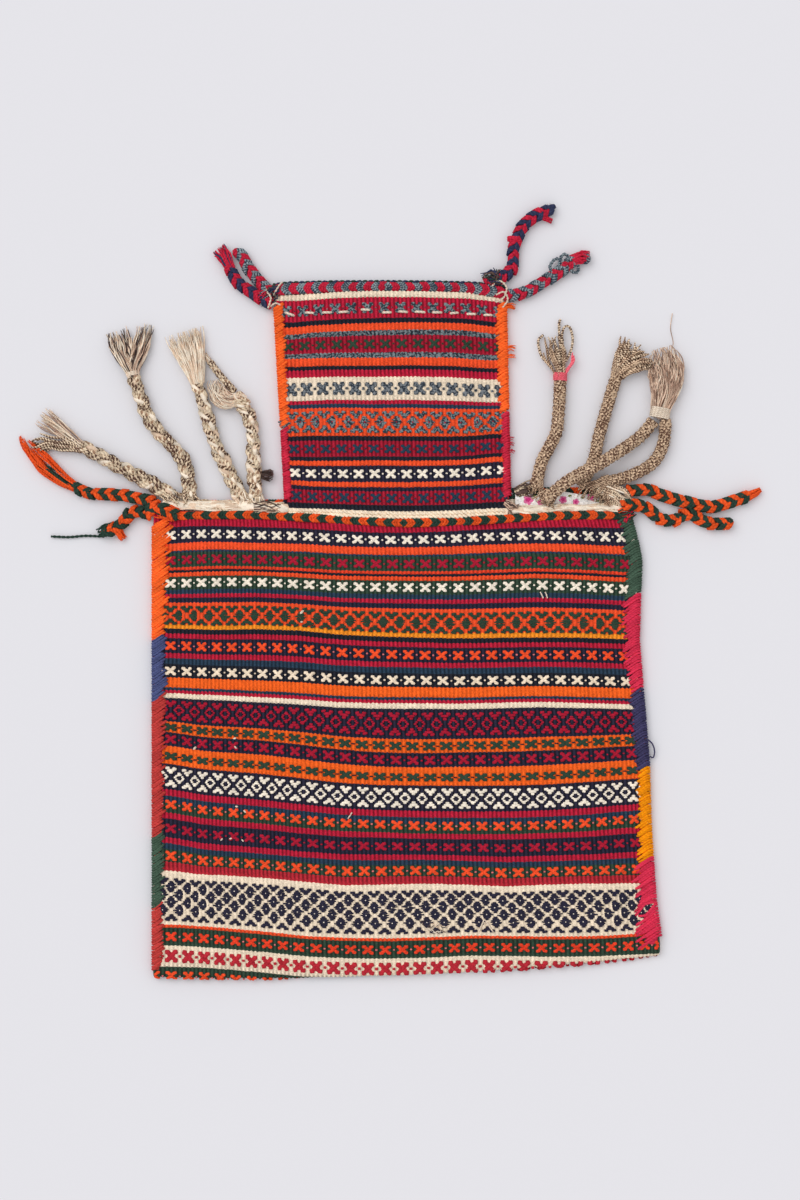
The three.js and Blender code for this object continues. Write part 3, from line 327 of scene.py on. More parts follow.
class Mesh:
    """Faces gathered into one piece."""

    def __init__(self):
        self.points, self.faces, self.slots, self.tones, self.uvs = [], [], [], [], []
        self.count = 0
        self.materials = []

    def add(self, points, faces, key, tone=1.0, uvs=None):
        points = np.asarray(points, float)
        if key not in self.materials:
            self.materials.append(key)
        self.points.append(points)
        self.faces += [[self.count + v for v in face] for face in faces]
        self.slots += [self.materials.index(key)] * len(faces)
        self.tones.append(np.broadcast_to(np.asarray(tone, float), len(points)))
        self.uvs.append(np.zeros((sum(len(f) for f in faces), 2)) if uvs is None else uvs)
        self.count += len(points)

    def build(self, name):
        data = bpy.data.meshes.new(name)
        points = np.vstack(self.points)
        points[:, 2] = np.maximum(points[:, 2], FLOOR_CLEARANCE)
        data.from_pydata((points * MM).tolist(), [], self.faces)
        for key in self.materials:
            data.materials.append(MATERIALS[key])
        data.polygons.foreach_set("material_index", self.slots)
        data.polygons.foreach_set("use_smooth", [True] * len(self.faces))
        data.attributes.new("tone", "FLOAT", "POINT").data.foreach_set("value", np.concatenate(self.tones))
        layer = data.uv_layers.new(name="yarn")
        layer.data.foreach_set("uv", np.vstack(self.uvs).astype(np.float32).ravel())
        made = bpy.data.objects.new(name, data)
        bpy.context.scene.collection.objects.link(made)
        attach(made, "root")
        return made


def finish_piece(mesh, name, slot, *nodes):
    """Builds a piece, in the place of the named CAD nodes."""
    made = mesh.build(name)
    if nodes:
        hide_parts(*nodes)
    return made


def piece(name, slot, nodes, *parts):
    """A piece made of parts, each of them a function and what it takes after the mesh."""
    mesh = Mesh()
    for make, *values in parts:
        make(mesh, *values)
    return finish_piece(mesh, name, slot, *nodes)


def thicken(made, thickness):
    modifier = made.modifiers.new("thickness", "SOLIDIFY")
    modifier.thickness = thickness * MM
    modifier.offset = -1.0


# Yarns along paths

TUBES = {}
TINY = 1e-9
UP = (0, 0, 1)


def tube_faces(rings, sides):
    if (rings, sides) not in TUBES:
        faces, corners = [], []
        for r in range(rings - 1):
            for k in range(sides):
                n = (k + 1) % sides
                faces.append((r * sides + k, r * sides + n, (r + 1) * sides + n, (r + 1) * sides + k))
                corners += [(r, k), (r, k + 1), (r + 1, k + 1), (r + 1, k)]
        first, last = rings * sides, rings * sides + 1
        for k in range(sides):
            n = (k + 1) % sides
            faces += [(first, n, k), (last, (rings - 1) * sides + k, (rings - 1) * sides + n)]
            corners += [(0, k), (0, k + 1), (0, k), (rings - 1, k), (rings - 1, k), (rings - 1, k + 1)]
        TUBES[rings, sides] = faces, np.array(corners)
    return TUBES[rings, sides]


def axes_along(path, reference=UP):
    along = np.gradient(path, axis=0)
    along /= np.linalg.norm(along, axis=1)[:, None] + TINY
    side = np.cross(along, np.broadcast_to(reference, along.shape))
    side /= np.linalg.norm(side, axis=1)[:, None] + TINY
    return along, side, np.cross(side, along)


def lengths(path):
    return np.concatenate([[0], np.cumsum(np.linalg.norm(np.diff(path, axis=0), axis=1))])


def tube(mesh, path, radius, key, sides=6, tone=1.0, flat=1.0, reference=UP):
    """A yarn along a path, closed at both ends."""
    path = np.asarray(path, float)
    along, side, up = axes_along(path, reference)
    radius = np.broadcast_to(np.asarray(radius, float), len(path))
    angle = np.arange(sides) * 2 * math.pi / sides
    ring = np.cos(angle)[None, :, None] * side[:, None] + flat * np.sin(angle)[None, :, None] * up[:, None]
    points = (path[:, None] + radius[:, None, None] * ring).reshape(-1, 3)
    ends = [path[0] - along[0] * radius[0] * 0.5, path[-1] + along[-1] * radius[-1] * 0.5]
    faces, corners = tube_faces(len(path), sides)
    uvs = np.column_stack([lengths(path)[corners[:, 0]] + rng.uniform(0, 60), corners[:, 1] / sides])
    if np.ndim(tone):
        tone = np.concatenate([np.repeat(tone, sides), [tone[0], tone[-1]]])
    mesh.add(np.vstack([points, ends]), faces, key, tone, uvs)


def route(points, step):
    """A smooth curve through the points, cut into pieces of about one step."""
    p = np.asarray(points, float)
    p = np.vstack([2 * p[0] - p[1], p, 2 * p[-1] - p[-2]])
    found = []
    for a, b, c, d in zip(p, p[1:], p[2:], p[3:]):
        pieces = max(2, round(np.linalg.norm(c - b) / step))
        for t in np.arange(pieces) / pieces:
            found.append(0.5 * (2 * b + (c - a) * t + (2 * a - 5 * b + 4 * c - d) * t * t
                                + (3 * b - a - 3 * c + d) * t ** 3))
    return np.array(found + [p[-2]])


# The shape of the cloth

def smoothstep(value, low, high):
    t = np.clip((value - low) / (high - low), 0, 1)
    return t * t * (3 - 2 * t)


def lerp(a, b, t):
    return a + (b - a) * t


def left_edge(y):
    return BODY_LEFT


def body_right(y):
    straight = BODY_TOP_RIGHT + BODY_FLARE * np.minimum(1, (SHOULDER_Y - y) / (SHOULDER_Y - FLARE_END_Y))
    return straight + np.interp(y, EDGE_Y, EDGE_OUT)


def neck_left(y):
    return lerp(NECK_BASE_LEFT, NECK_TOP_LEFT, (y - SHOULDER_Y) / (MOUTH_Y - SHOULDER_Y))


def neck_right(y):
    return lerp(NECK_BASE_RIGHT, NECK_TOP_RIGHT, (y - SHOULDER_Y) / (MOUTH_Y - SHOULDER_Y))


def body_x(y, share):
    return lerp(BODY_LEFT, body_right(y), share)


def neck_x(y, share):
    return lerp(neck_left(y), neck_right(y), share)


def distance(x, y, ax, ay, bx, by):
    t = np.clip(((x - ax) * (bx - ax) + (y - ay) * (by - ay)) / ((bx - ax) ** 2 + (by - ay) ** 2), 0, 1)
    return np.hypot(x - lerp(ax, bx, t), y - lerp(ay, by, t))


SEAMS = [
    (BODY_LEFT, SHOULDER_Y, BODY_LEFT, BOTTOM_Y),
    (BODY_TOP_RIGHT, SHOULDER_Y, BODY_TOP_RIGHT + BODY_FLARE, BOTTOM_Y),
    (NECK_BASE_LEFT, SHOULDER_Y, NECK_TOP_LEFT, MOUTH_Y),
    (NECK_BASE_RIGHT, SHOULDER_Y, NECK_TOP_RIGHT, MOUTH_Y),
]
SHOULDERS = [
    (BODY_LEFT, SHOULDER_Y, NECK_BASE_LEFT, SHOULDER_Y),
    (NECK_BASE_RIGHT, SHOULDER_Y, BODY_TOP_RIGHT, SHOULDER_Y),
]


def nearest(x, y, lines):
    return np.minimum.reduce([distance(x, y, *line) for line in lines])


def ripple(x, y):
    """The slight cockling of an old cloth."""
    return (0.5 * np.sin(x / 23 + 0.6 * np.sin(y / 31)) * np.sin(y / 37 + 1.1)
            + 0.35 * np.sin(x / 41 - y / 29 + 0.7) + 0.25 * np.sin(y / 13 + x / 57))


def front_z(x, y, above_fold):
    """Height of the front, which rises from the seams, the shoulders and the fold to the belly."""
    gap = np.minimum.reduce([
        lerp(SEAM_GAP, BELLY_GAP, smoothstep(nearest(x, y, SEAMS), SEAM_RIM, SEAM_RIM + BELLY_RUN)),
        lerp(SHOULDER_GAP, BELLY_GAP, smoothstep(nearest(x, y, SHOULDERS), 0, BELLY_RUN)),
        lerp(SEAM_GAP, BELLY_GAP, smoothstep(above_fold, 0, BELLY_RUN)) + 0 * x,
    ])
    return BACK_INNER_Z + gap + CLOTH_THICKNESS + ripple(x, y) * smoothstep(gap, SEAM_GAP, BELLY_GAP)


def on_face(x, y, lift=0.0):
    return float(front_z(np.array([x]), np.array([y]), y - BOTTOM_Y)[0]) + lift


def shoulder_line(share):
    return SHOULDER_Y - WEFT_SAG * np.sin(math.pi * share) ** 2


def fold_line(share):
    return BOTTOM_Y + BOTTOM_RISE * ((share - BOTTOM_LOW_SHARE) / (1 - BOTTOM_LOW_SHARE)) ** 2 + FOLD_RADIUS


def sag_table(left, right, knots, table):
    """Drop of the weft lines as a smooth function of place and level."""
    x = np.linspace(left, right, SAG_STEPS)
    levels = np.array(sorted(table))
    kernel = np.hanning(SAG_SMOOTH + 2)[1:-1]
    kernel /= kernel.sum()
    rows = np.array([
        np.convolve(np.pad(np.interp(x, knots, table[level]), SAG_SMOOTH // 2, mode="edge"), kernel, "valid")
        for level in levels
    ])

    def drop(at, level):
        by_level = np.array([np.interp(at, x, row) for row in rows])
        k = int(np.clip(np.searchsorted(levels, level) - 1, 0, len(levels) - 2))
        t = np.clip((level - levels[k]) / (levels[k + 1] - levels[k]), 0, 1)
        return lerp(by_level[k], by_level[k + 1], t)

    return drop


body_drop = sag_table(BODY_LEFT, BODY_TOP_RIGHT + BODY_FLARE, BODY_SAG_X, BODY_SAG)
neck_drop = sag_table(NECK_TOP_LEFT, NECK_BASE_RIGHT, NECK_SAG_X, NECK_SAG)


def weft_y(share, level):
    """Height of a weft line of the body, without the turn round the fold."""
    return level - body_drop(BODY_LEFT + share * BODY_MEAN_WIDTH, level)


def body_points(columns, level, lift=0.0, shift=0.0):
    """A weft line on the front, round the fold or on the back, raised off the cloth by lift."""
    share = np.interp(columns, SPREAD_COLUMNS, SPREAD_SHARES)
    y = weft_y(share, level) + shift
    fold = fold_line(share)
    past = np.maximum(fold - y, 0)
    turn = np.minimum(past / FOLD_RADIUS, math.pi)
    beyond = np.maximum(past - math.pi * FOLD_RADIUS, 0)
    shown_y = np.where(past > 0, fold - (FOLD_RADIUS + lift) * np.sin(turn) + beyond, y)
    x = body_x(shown_y, share)
    z = np.where(past > 0, FOLD_MIDDLE_Z + (FOLD_RADIUS + lift) * np.cos(turn),
                 front_z(x, y, y - fold) + lift)
    return np.column_stack([x, shown_y, z])


def neck_points(columns, level, lift=0.0, shift=0.0):
    share = (columns - NECK_FIRST) / (NECK_LAST - NECK_FIRST)
    y = level - neck_drop(neck_x(level, share), level) + shift
    x = neck_x(y, share)
    return np.column_stack([x, y, front_z(x, y, FAR_FROM_FOLD) + lift])


# The cloth

class Rows:
    """Rows of the cloth, each joined to the row before; yarn is the one woven last."""

    def __init__(self):
        self.mesh = Mesh()
        self.last = None
        self.yarn = "cream"

    def add(self, first, points, key, tone):
        faces = []
        if self.last:
            last_first, last_end, last_at = self.last
            shift = last_at - last_first - self.mesh.count
            for c in range(max(first, last_first), min(first + len(points), last_end) - 1):
                faces.append((c + shift, c - first, c + 1 - first, c + 1 + shift))
        self.last = first, first + len(points), self.mesh.count
        self.mesh.add(points, faces, key, tone)


ALL = np.arange(COLUMNS + 1)
NECK = np.arange(NECK_FIRST, NECK_LAST + 1)
cloth = Rows()
brocade = {}


def ribs(columns):
    return np.where(columns % 2 == 0, 1.0, -1.0)


def row_tone(columns, row_shade, yarn="crimson"):
    wear = np.array([rng.uniform(-0.06, 0.06) for _ in columns])
    depth = RIB_HIGHLIGHT_AND_SHADE.get(yarn, OTHER_RIB_HIGHLIGHT_AND_SHADE)
    # The ribs get a painted highlight and the hollows between them painted shade; wear adds random tone
    return row_shade * (1 - 0.6 * depth + depth * ribs(columns)) + wear


def weave(bands, top, columns, points):
    """Rows and brocade of a stack of bands."""
    level = top
    for height, yarn, *motif in bands:
        steps = max(1, math.ceil(height / ROW_STEP))
        shade = rng.uniform(0.96, 1.03)
        for k in range(steps):
            uneven = np.array([rng.uniform(-0.22, 0.22) for _ in columns])
            edge = SCALLOP * ribs(columns) + uneven if k == 0 else 0.0
            raised = BROCADE_LIFT * math.sin(math.pi * k / steps) if motif else 0.0
            place = points(columns, level - height * k / steps, RIB_RELIEF * ribs(columns) + raised, edge)
            grounds = yarn.split("/")
            ground = grounds[k * len(grounds) // steps]
            tone = row_tone(columns, shade * rng.uniform(0.97, 1.03), ground)
            cloth.add(columns[0], place, cloth.yarn, tone)
            cloth.yarn = ground
        if motif:
            stitch_band(level - height / 2, *motif, columns, points)
        level -= height
    return level


def stitch_band(middle, motif, yarn, columns, points):
    """Brocade stitches of one band, repeat after repeat along the warps."""
    for start in range(MOTIF_START - REPEAT, COLUMNS, REPEAT):
        for x, up, lean, long, wide, *other in motif:
            column = start + x
            if not columns[0] + 0.6 <= column <= columns[-1] - 0.6:
                continue
            before, place, after = points(column + rng.uniform(-0.12, 0.12) + np.arange(-1.0, 2.0),
                                          middle + up + rng.uniform(-0.15, 0.15),
                                          RIB_RELIEF * 0.6 + BROCADE_LIFT + (DOT_LIFT if other else 0))
            long *= (after[0] - before[0]) / (2 * CELL)
            key = other[0] if other and other[0] else yarn
            brocade.setdefault(key, []).append((place, lean, long, wide))


foot_level = weave(NECK_BANDS, NECK_TOP, NECK, neck_points)
cloth.add(NECK_FIRST, neck_points(NECK, foot_level), cloth.yarn, row_tone(NECK, 1.06, "plain"))

share_all = np.interp(ALL, SPREAD_COLUMNS, SPREAD_SHARES)
top_line = shoulder_line(share_all)
top_x = body_x(top_line, share_all)
top_row = np.column_stack([top_x, top_line, front_z(top_x, top_line, FAR_FROM_FOLD)])
cloth.add(0, top_row, "cream", row_tone(ALL, 1.06, "plain"))
cloth.yarn = "crimson"
end_level = weave(BODY_BANDS, BODY_TOP, ALL, body_points)

past_fold = fold_line(share_all) - weft_y(share_all, end_level)
start_y = fold_line(share_all) + np.maximum(past_fold - math.pi * FOLD_RADIUS, 1.0)
back_top = SHOULDER_Y + BACK_RISE_RIGHT * share_all
for k in range(BACK_ROWS + 1):
    y = lerp(start_y, back_top, k / BACK_ROWS)
    yarn = BACK_BANDS[k * len(BACK_BANDS) // BACK_ROWS] if k < BACK_ROWS - 1 else "cream"
    place = np.column_stack([body_x(y, share_all), y, BACK_OUTER_Z - BACK_RIB_RELIEF * ribs(ALL)])
    cloth.add(0, place, yarn, row_tone(ALL, 1.0))
neck_share = (NECK - NECK_FIRST) / (NECK_LAST - NECK_FIRST)
back_mouth = BACK_MOUTH_Y - BACK_MOUTH_DIP * (2 * neck_share - 1) ** 2
for k in range(BACK_NECK_ROWS):
    y = lerp(back_top[NECK_FIRST:NECK_LAST + 1], back_mouth, (k + 1) / BACK_NECK_ROWS)
    yarn = BACK_NECK_BANDS[k * len(BACK_NECK_BANDS) // BACK_NECK_ROWS]
    place = np.column_stack([neck_x(y, neck_share), y, BACK_OUTER_Z - BACK_RIB_RELIEF * ribs(NECK)])
    cloth.add(NECK_FIRST, place, yarn, row_tone(NECK, 1.0))

bag = cloth.mesh.build("bag_cloth_woven")
thicken(bag, CLOTH_THICKNESS)
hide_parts("bag_cloth")

# Brocade stitches: small domes that lean along the arms of their motif
DOME_SIDES = 8
# Painted shade darkens the foot ring of every stitch, where it meets the cloth
DOME_FOOT_PAINTED_SHADE = 0.72
dome_angle = (np.arange(DOME_SIDES) + 0.5) * 2 * math.pi / DOME_SIDES
dome_x, dome_y = [np.sign(v) * np.abs(v) ** 0.6 for v in (np.cos(dome_angle), np.sin(dome_angle))]
dome = np.vstack([
    np.column_stack([1.06 * dome_x, 1.06 * dome_y, np.full(DOME_SIDES, -0.8)]),
    np.column_stack([0.94 * dome_x, 0.94 * dome_y, np.full(DOME_SIDES, 0.6)]),
    [[0, 0, 1.0]],
])
dome_painted_shade = np.where(np.arange(len(dome)) < DOME_SIDES, DOME_FOOT_PAINTED_SHADE, 1.0)
dome_ring = [(k, (k + 1) % DOME_SIDES) for k in range(DOME_SIDES)]
dome_faces = [(a, b, DOME_SIDES + b, DOME_SIDES + a) for a, b in dome_ring]
dome_faces += [(DOME_SIDES + a, DOME_SIDES + b, 2 * DOME_SIDES) for a, b in dome_ring]
for yarn, stitches in brocade.items():
    mesh = Mesh()
    for at, lean, long, wide in stitches:
        lean += rng.uniform(-0.15, 0.15)
        long *= rng.uniform(0.88, 1.1)
        wide *= rng.uniform(0.88, 1.1)
        flip = 1 if at[2] > FOLD_MIDDLE_Z else -1
        x, y, z = (dome * [long, wide, STITCH_HEIGHT]).T
        turned = np.column_stack([x * math.cos(lean) - y * math.sin(lean),
                                  x * math.sin(lean) + y * math.cos(lean), z])
        tone = rng.uniform(0.88, 1.06) * BROCADE_SHADE.get(yarn, 1.0) * dome_painted_shade
        mesh.add(at + turned * [1, flip, flip], dome_faces, yarn, tone)
    finish_piece(mesh, "brocade_" + yarn, "banded_cloth")

# Whipping along the sides: slanted stitches that pass round both layers

WHIP_PITCH, WHIP_RADIUS, WHIP_LEAN = 1.95, 1.3, 0.75
WHIP_BED = 0.34
PARTED = {"crimson": -213.5}
PART_SHIFT, PART_REACH, PART_HALF = 4.2, 5, 3


def whipping(name, yarn, out, bulge, top, bottom, widths, edge, slot, parted=None):
    """One length of coloured wool; widths are how far its stitches reach on the face at its top and bottom.
    Parted is the height where its stitches have moved apart."""
    mesh = Mesh()
    count = int((top - bottom) / WHIP_PITCH)
    for k in range(count):
        y = top - (k + rng.uniform(-0.15, 0.15)) * WHIP_PITCH
        width = lerp(*widths, k / count) * rng.uniform(0.66, 1.22)
        x = edge(y)
        slope = -out * WHIP_LEAN * rng.uniform(0.85, 1.15)
        back = width * rng.uniform(0.7, 0.9)
        thick = rng.uniform(-0.1, 0.25)
        aside = 0.0
        if parted:
            aside = math.copysign(PART_SHIFT * math.exp(-((y - parted) / PART_REACH) ** 2), y - parted)
        on_front = [(1.0, 0.0, -0.5), (0.86, 0.3, 0.75 + thick), (0.5, 1.0, 1.15 + thick),
                    (0.12, 0.4, 0.85 + thick)]
        path = [(x - out * width * a, y + slope * width * a + b * aside, SEAM_TOP_Z + c)
                for a, b, c in on_front]
        path += [
            (x + out * 0.75, y, SEAM_TOP_Z + 0.05),
            (x + out * bulge, y - 0.3, FOLD_MIDDLE_Z + 0.9),
            (x + out * bulge, y - 0.6, FOLD_MIDDLE_Z - 0.9),
            (x + out * 0.7, y - 0.9, 1.25),
            (x - out * back * 0.4, y - 1.2 - slope * back * 0.3, 0.85),
            (x - out * back, y - 1.4 - slope * back * 0.6, 1.6),
        ]
        tube(mesh, path, WHIP_RADIUS * rng.uniform(0.88, 1.1), yarn, 6, rng.uniform(0.9, 1.22), 0.8,
             (0, 1, 0))
    runs = [(top, parted + PART_HALF), (parted - PART_HALF, bottom)] if parted else [(top, bottom)]
    for high, low in runs:
        bed = np.linspace(high - 1.0, low + 1.0, max(3, int((high - low) / 6)))
        reach = np.interp(bed, [bottom, top], [widths[1], widths[0]])
        inside = [(edge(y) - out * w * WHIP_BED, y - out * WHIP_LEAN * w * WHIP_BED, SEAM_TOP_Z + 0.35)
                  for y, w in zip(bed, reach)]
        tube(mesh, inside, reach * WHIP_BED, yarn, 8, 0.9, min(0.3, 2.9 / reach.max()))
    finish_piece(mesh, name + "_stitches", slot, name)


for side, out, bulge, edge, blocks in (
    ("whipping_left_", -1, 1.2, left_edge, [
        ("orange", "whip_orange_yarn", 81.0, -9.0, (13.5, 8.0), "orange_wool"),
        ("blue", "whip_blue_yarn", -8.0, -58.0, (8.5, 8.5), "blue_wool"),
        ("rust_upper", "whip_rust_yarn", -56.0, -163.5, (8.5, 7.0), "rust_wool"),
        ("green", "whip_green_yarn", -161.5, -218.5, (6.5, 6.5), "green_wool"),
        ("rust_lower", "whip_rust_yarn", -217.5, -267.0, (6.5, 6.0), "rust_wool"),
    ]),
    ("whipping_right_", 1, 2.4, body_right, [
        ("green", "whip_green_yarn", 90.0, 28.0, (6.5, 9.0), "green_wool"),
        ("rose", "whip_rose_yarn", 29.0, -47.0, (11.0, 6.4), "rose_wool"),
        ("navy", "whip_navy_yarn", -46.0, -108.0, (7.8, 7.8), "navy_wool"),
        ("yellow", "whip_yellow_yarn", -107.0, -178.0, (6.6, 8.6), "yellow_wool"),
        ("crimson", "whip_rose_yarn", -177.0, -241.0, (12.0, 13.5), "crimson_wool"),
    ]),
    ("neck_whipping_left_", -1, 1.2, neck_left, [
        ("orange", "whip_orange_yarn", 252.0, 156.5, (5.8, 4.4), "orange_wool"),
        ("rose", "neck_rose_yarn", 156.0, 101.0, (3.4, 3.0), "rose_wool"),
    ]),
    ("neck_whipping_right_", 1, 1.2, neck_right, [
        ("orange", "whip_orange_yarn", 256.0, 171.0, (6.2, 4.8), "orange_wool"),
        ("rose", "neck_rose_yarn", 170.5, 103.0, (3.8, 3.4), "rose_wool"),
    ]),
):
    for part, yarn, top, bottom, widths, slot in blocks:
        whipping(side + part, yarn, out, bulge, top, bottom, widths, edge, slot, PARTED.get(part))


# Ways of working yarns together

CHAIN_STRANDS = 3
CHEVRON = [(1.0, 1.0, 0.0), (0.62, 0.8, 0.75), (0.22, 0.45, 1.2), (0.02, 0.0, 1.35)]
CHEVRON += [(a, -b, c) for a, b, c in CHEVRON[-2::-1]]
PLAIT_WIDTH, PLAIT_HEIGHT, PLAIT_PITCH, PLAIT_TWIST = 12.0, 9.0, 34.0, 14.0
BRAID_HALF, BRAID_THICK, BRAID_PITCH = 4.1, 2.7, 5.4
LOBE = [(-1.15, 0.55, -0.7), (-1.05, 0.95, -0.2), (-0.7, 0.92, 0.4), (-0.25, 0.5, 0.85), (0.1, 0.05, 0.85),
        (0.3, -0.2, 0.3)]
LOBE_SWELL = np.array([0.8, 0.95, 1.0, 1.0, 0.9, 0.6])
ROUND_RADIUS, ROUND_PITCH, ROUND_STRANDS = 5.3, 20.0, 8


def around(axes, angle):
    """Directions at an angle round a path that has these axes."""
    return np.cos(angle)[:, None] * axes[1] + np.sin(angle)[:, None] * axes[2]


def chain(mesh, line, turn_x, pitch, half, yarns, low, radius=1.15):
    """A twined chain of nested chevrons, the colours in turn; left of turn_x they point left, else right."""
    path = route(line, 1.0)
    run = lengths(path)
    along, side, _ = axes_along(path)
    for k in range(int(run[-1] / pitch)):
        tone = rng.uniform(0.92, 1.06)
        high = half * rng.uniform(0.88, 1.1)
        for j in range(CHAIN_STRANDS):
            s = (k + 0.5 + (j - (CHAIN_STRANDS - 1) / 2) / CHAIN_STRANDS) * pitch
            base = np.array([np.interp(s, run, path[:, i]) for i in range(3)])
            i = int(np.clip(np.searchsorted(run, s), 0, len(run) - 1))
            reach = pitch * 0.6 if base[0] < turn_x else -pitch * 0.6
            points = [base + along[i] * reach * a - side[i] * high * b + np.array([0, 0, low + c])
                      for a, b, c in CHEVRON]
            tube(mesh, points, radius * rng.uniform(0.88, 1.1), yarns[k % len(yarns)], 6,
                 tone * rng.uniform(0.86, 1.12), 0.9)


def rope(mesh, path, radius, keys, pitch, sides=6):
    """Strands twisted round each other."""
    path = np.asarray(path, float)
    axes = axes_along(path)
    run = lengths(path)
    strand = radius / 2 if len(keys) == 2 else radius * 0.48
    for k, key in enumerate(keys):
        angle = 2 * math.pi * (run / pitch + k / len(keys))
        tube(mesh, path + (radius - strand) * around(axes, angle), strand * 1.05, key, sides)


def plait(mesh, path, keys):
    """A flat plait of three strands, each a twist of three yarns; keys gives the yarns of each strand."""
    axes = axes_along(path)
    _, side, up = axes
    run = lengths(path)
    strand = PLAIT_HEIGHT * 0.36
    swing, lift = PLAIT_WIDTH / 2 - strand, PLAIT_HEIGHT / 2 - strand
    thin = strand * 0.56
    taper = np.linspace(1.14, 0.92, len(path))
    for k in range(3):
        phase = 2 * math.pi * (run / PLAIT_PITCH + k / 3)
        lump = (taper + 0.13 * np.sin(run / 6.5 + rng.uniform(0, 6))
                + 0.09 * np.sin(run / 3.1 + rng.uniform(0, 6)))
        centre = (path + side * (swing * lump * np.sin(phase))[:, None]
                  + up * (lift * np.sin(2 * phase))[:, None])
        for j, key in enumerate(keys[k]):
            offset = (strand - thin) * around(axes, 2 * math.pi * (run / PLAIT_TWIST + j / 3))
            # The strands are painted darker where they dip under the others and lighter where they ride over
            # them: painted shade and painted highlight
            tube(mesh, centre + offset, thin * lump * rng.uniform(0.94, 1.06), key, 6,
                 rng.uniform(0.94, 1.08) * (0.84 + 0.2 * np.sin(2 * phase)))


def chevron_braid(mesh, path, keys):
    """A flat braid: lobes lean in from both edges in turn, the colours in turn, round a core."""
    along, side, up = axes_along(path)
    run = lengths(path)
    # The core, seen only in the gaps between the lobes, has painted shade: a darker tone
    tube(mesh, path, BRAID_THICK * 0.8, keys[-1], 8, 0.8)
    for k in range(math.ceil(2 * run[-1] / BRAID_PITCH)):
        edge = 1 if k % 2 else -1
        s = min((k + 0.5 + rng.uniform(-0.16, 0.16)) * BRAID_PITCH / 2, run[-1])
        i = int(np.searchsorted(run, s))
        wide = BRAID_HALF * rng.uniform(0.86, 1.1)
        for j in (-0.2, 0.2):
            points = [path[i] + along[i] * np.clip(a * BRAID_HALF + j * BRAID_PITCH, -s, run[-1] - s)
                      + edge * side[i] * b * wide + up[i] * c * BRAID_THICK for a, b, c in LOBE]
            tube(mesh, points, LOBE_SWELL * BRAID_PITCH * rng.uniform(0.24, 0.28),
                 keys[k // 2 % len(keys)], 6, rng.uniform(0.86, 1.1))


def fuzz(mesh, path, radius, count, key, long):
    """Stray fibres that stand off a cord."""
    along, side, up = axes_along(path)
    for _ in range(count):
        i = rng.randrange(len(path))
        angle = rng.uniform(-0.6, math.pi + 0.6)
        out = math.cos(angle) * side[i] + math.sin(angle) * up[i]
        lean = along[i] * rng.uniform(-1, 1) + side[i] * rng.uniform(-0.4, 0.4)
        size = long * rng.uniform(0.5, 1.2)
        start = path[i] + out * radius * 0.85
        points = np.array([start, start + (out * 0.5 + lean * 0.35) * size,
                           start + (out * 0.8 + lean * 0.9) * size])
        points[:, 2] = np.maximum(points[:, 2], 0.25)
        tube(mesh, points, [0.16, 0.14, 0.08], key, 3)


def round_braid(mesh, path, keys):
    """A round braid: half of the strands run each way, over and under the others."""
    axes = axes_along(path)
    half = ROUND_STRANDS // 2
    thin = ROUND_RADIUS * 0.34
    turn = 2 * math.pi * lengths(path) / ROUND_PITCH
    for k in range(ROUND_STRANDS):
        way = 1 if k < half else -1
        wave = way * np.cos(half * turn)
        reach = (ROUND_RADIUS - thin) * (0.93 + 0.07 * wave) - 0.12 * ROUND_RADIUS * (wave < 0)
        centre = path + reach[:, None] * around(axes, 2 * math.pi * (k % half) / half + way * turn)
        tube(mesh, centre, thin * rng.uniform(0.94, 1.08), keys[k % len(keys)], 6, rng.uniform(0.9, 1.06))


def bundle(mesh, stations, count, radius, keys, wave=0.6, short=0.22, sides=4, locks=0, heart=False):
    """Loose yarns or hair through stations of place, half width and half height. Wave is how far they
    wander, short is the share that the shortest lacks, locks is how many strands they gather into, and a
    heart fills the middle."""
    spine = route(stations, 3.0)
    _, side, up = axes_along(spine[:, :3])
    run = np.linspace(0, 1, len(spine))
    if heart:
        inner = spine[:max(4, int(len(spine) * 0.62))]
        tube(mesh, inner[:, :3], inner[:, 3] * np.linspace(0.85, 0.3, len(inner)), keys[0], 10, 1.1, 0.3)
    centres = [(2 * k + 1) / locks - 1 + rng.uniform(-0.6, 0.6) / locks for k in range(locks)]
    for _ in range(count):
        across = centres[rng.randrange(locks)] + rng.gauss(0, 0.09) if locks else rng.uniform(-1, 1)
        across = max(-1.05, min(1.05, across))
        height = rng.uniform(-1, 1) * math.sqrt(max(0, 1 - min(1, across * across) * 0.8))
        use = run <= 1 - short * rng.random()
        if use.sum() < 4:
            continue
        phase, speed = rng.uniform(0, 6.28), rng.uniform(0.7, 1.6)
        wobble = wave * run * np.sin(phase + speed * run * 9)
        path = (spine[:, :3] + side * (across * spine[:, 3] + wobble)[:, None]
                + up * (height * spine[:, 4] + 0.5 * wobble)[:, None])[use]
        path[:, 2] = np.maximum(path[:, 2], radius + 0.1)
        taper = radius * np.interp(np.linspace(0, 1, len(path)), [0, 0.8, 1], [1, 0.9, 0.45])
        tube(mesh, path, taper, keys[rng.randrange(len(keys))], sides, rng.uniform(0.98, 1.24))


def tangle(mesh, line, count, long, radius, keys, wide, high):
    """Short loose strands laid along a line."""
    path = route(line, 2.0)
    run = lengths(path)
    t = np.linspace(-1, 1, 7)
    swell = np.array([0.5, 0.85, 1, 1, 1, 0.85, 0.5])
    for _ in range(count):
        size = long * rng.uniform(0.6, 1.2)
        s = rng.uniform(0, max(run[-1] - size, 1.0)) + np.linspace(0, 1, 7) * size
        points = np.column_stack([np.interp(s, run, path[:, i]) for i in range(3)])
        points[:, 1] += wide * (rng.uniform(-1, 1) + 0.35 * rng.uniform(-1, 1) * t
                                + 0.25 * np.sin(rng.uniform(0, 6) + 3 * t))
        points[:, 2] += high * (rng.uniform(-0.6, 1) - 0.5 * t * t)
        tube(mesh, points, radius * swell, keys[rng.randrange(len(keys))], 5, rng.uniform(0.98, 1.12))


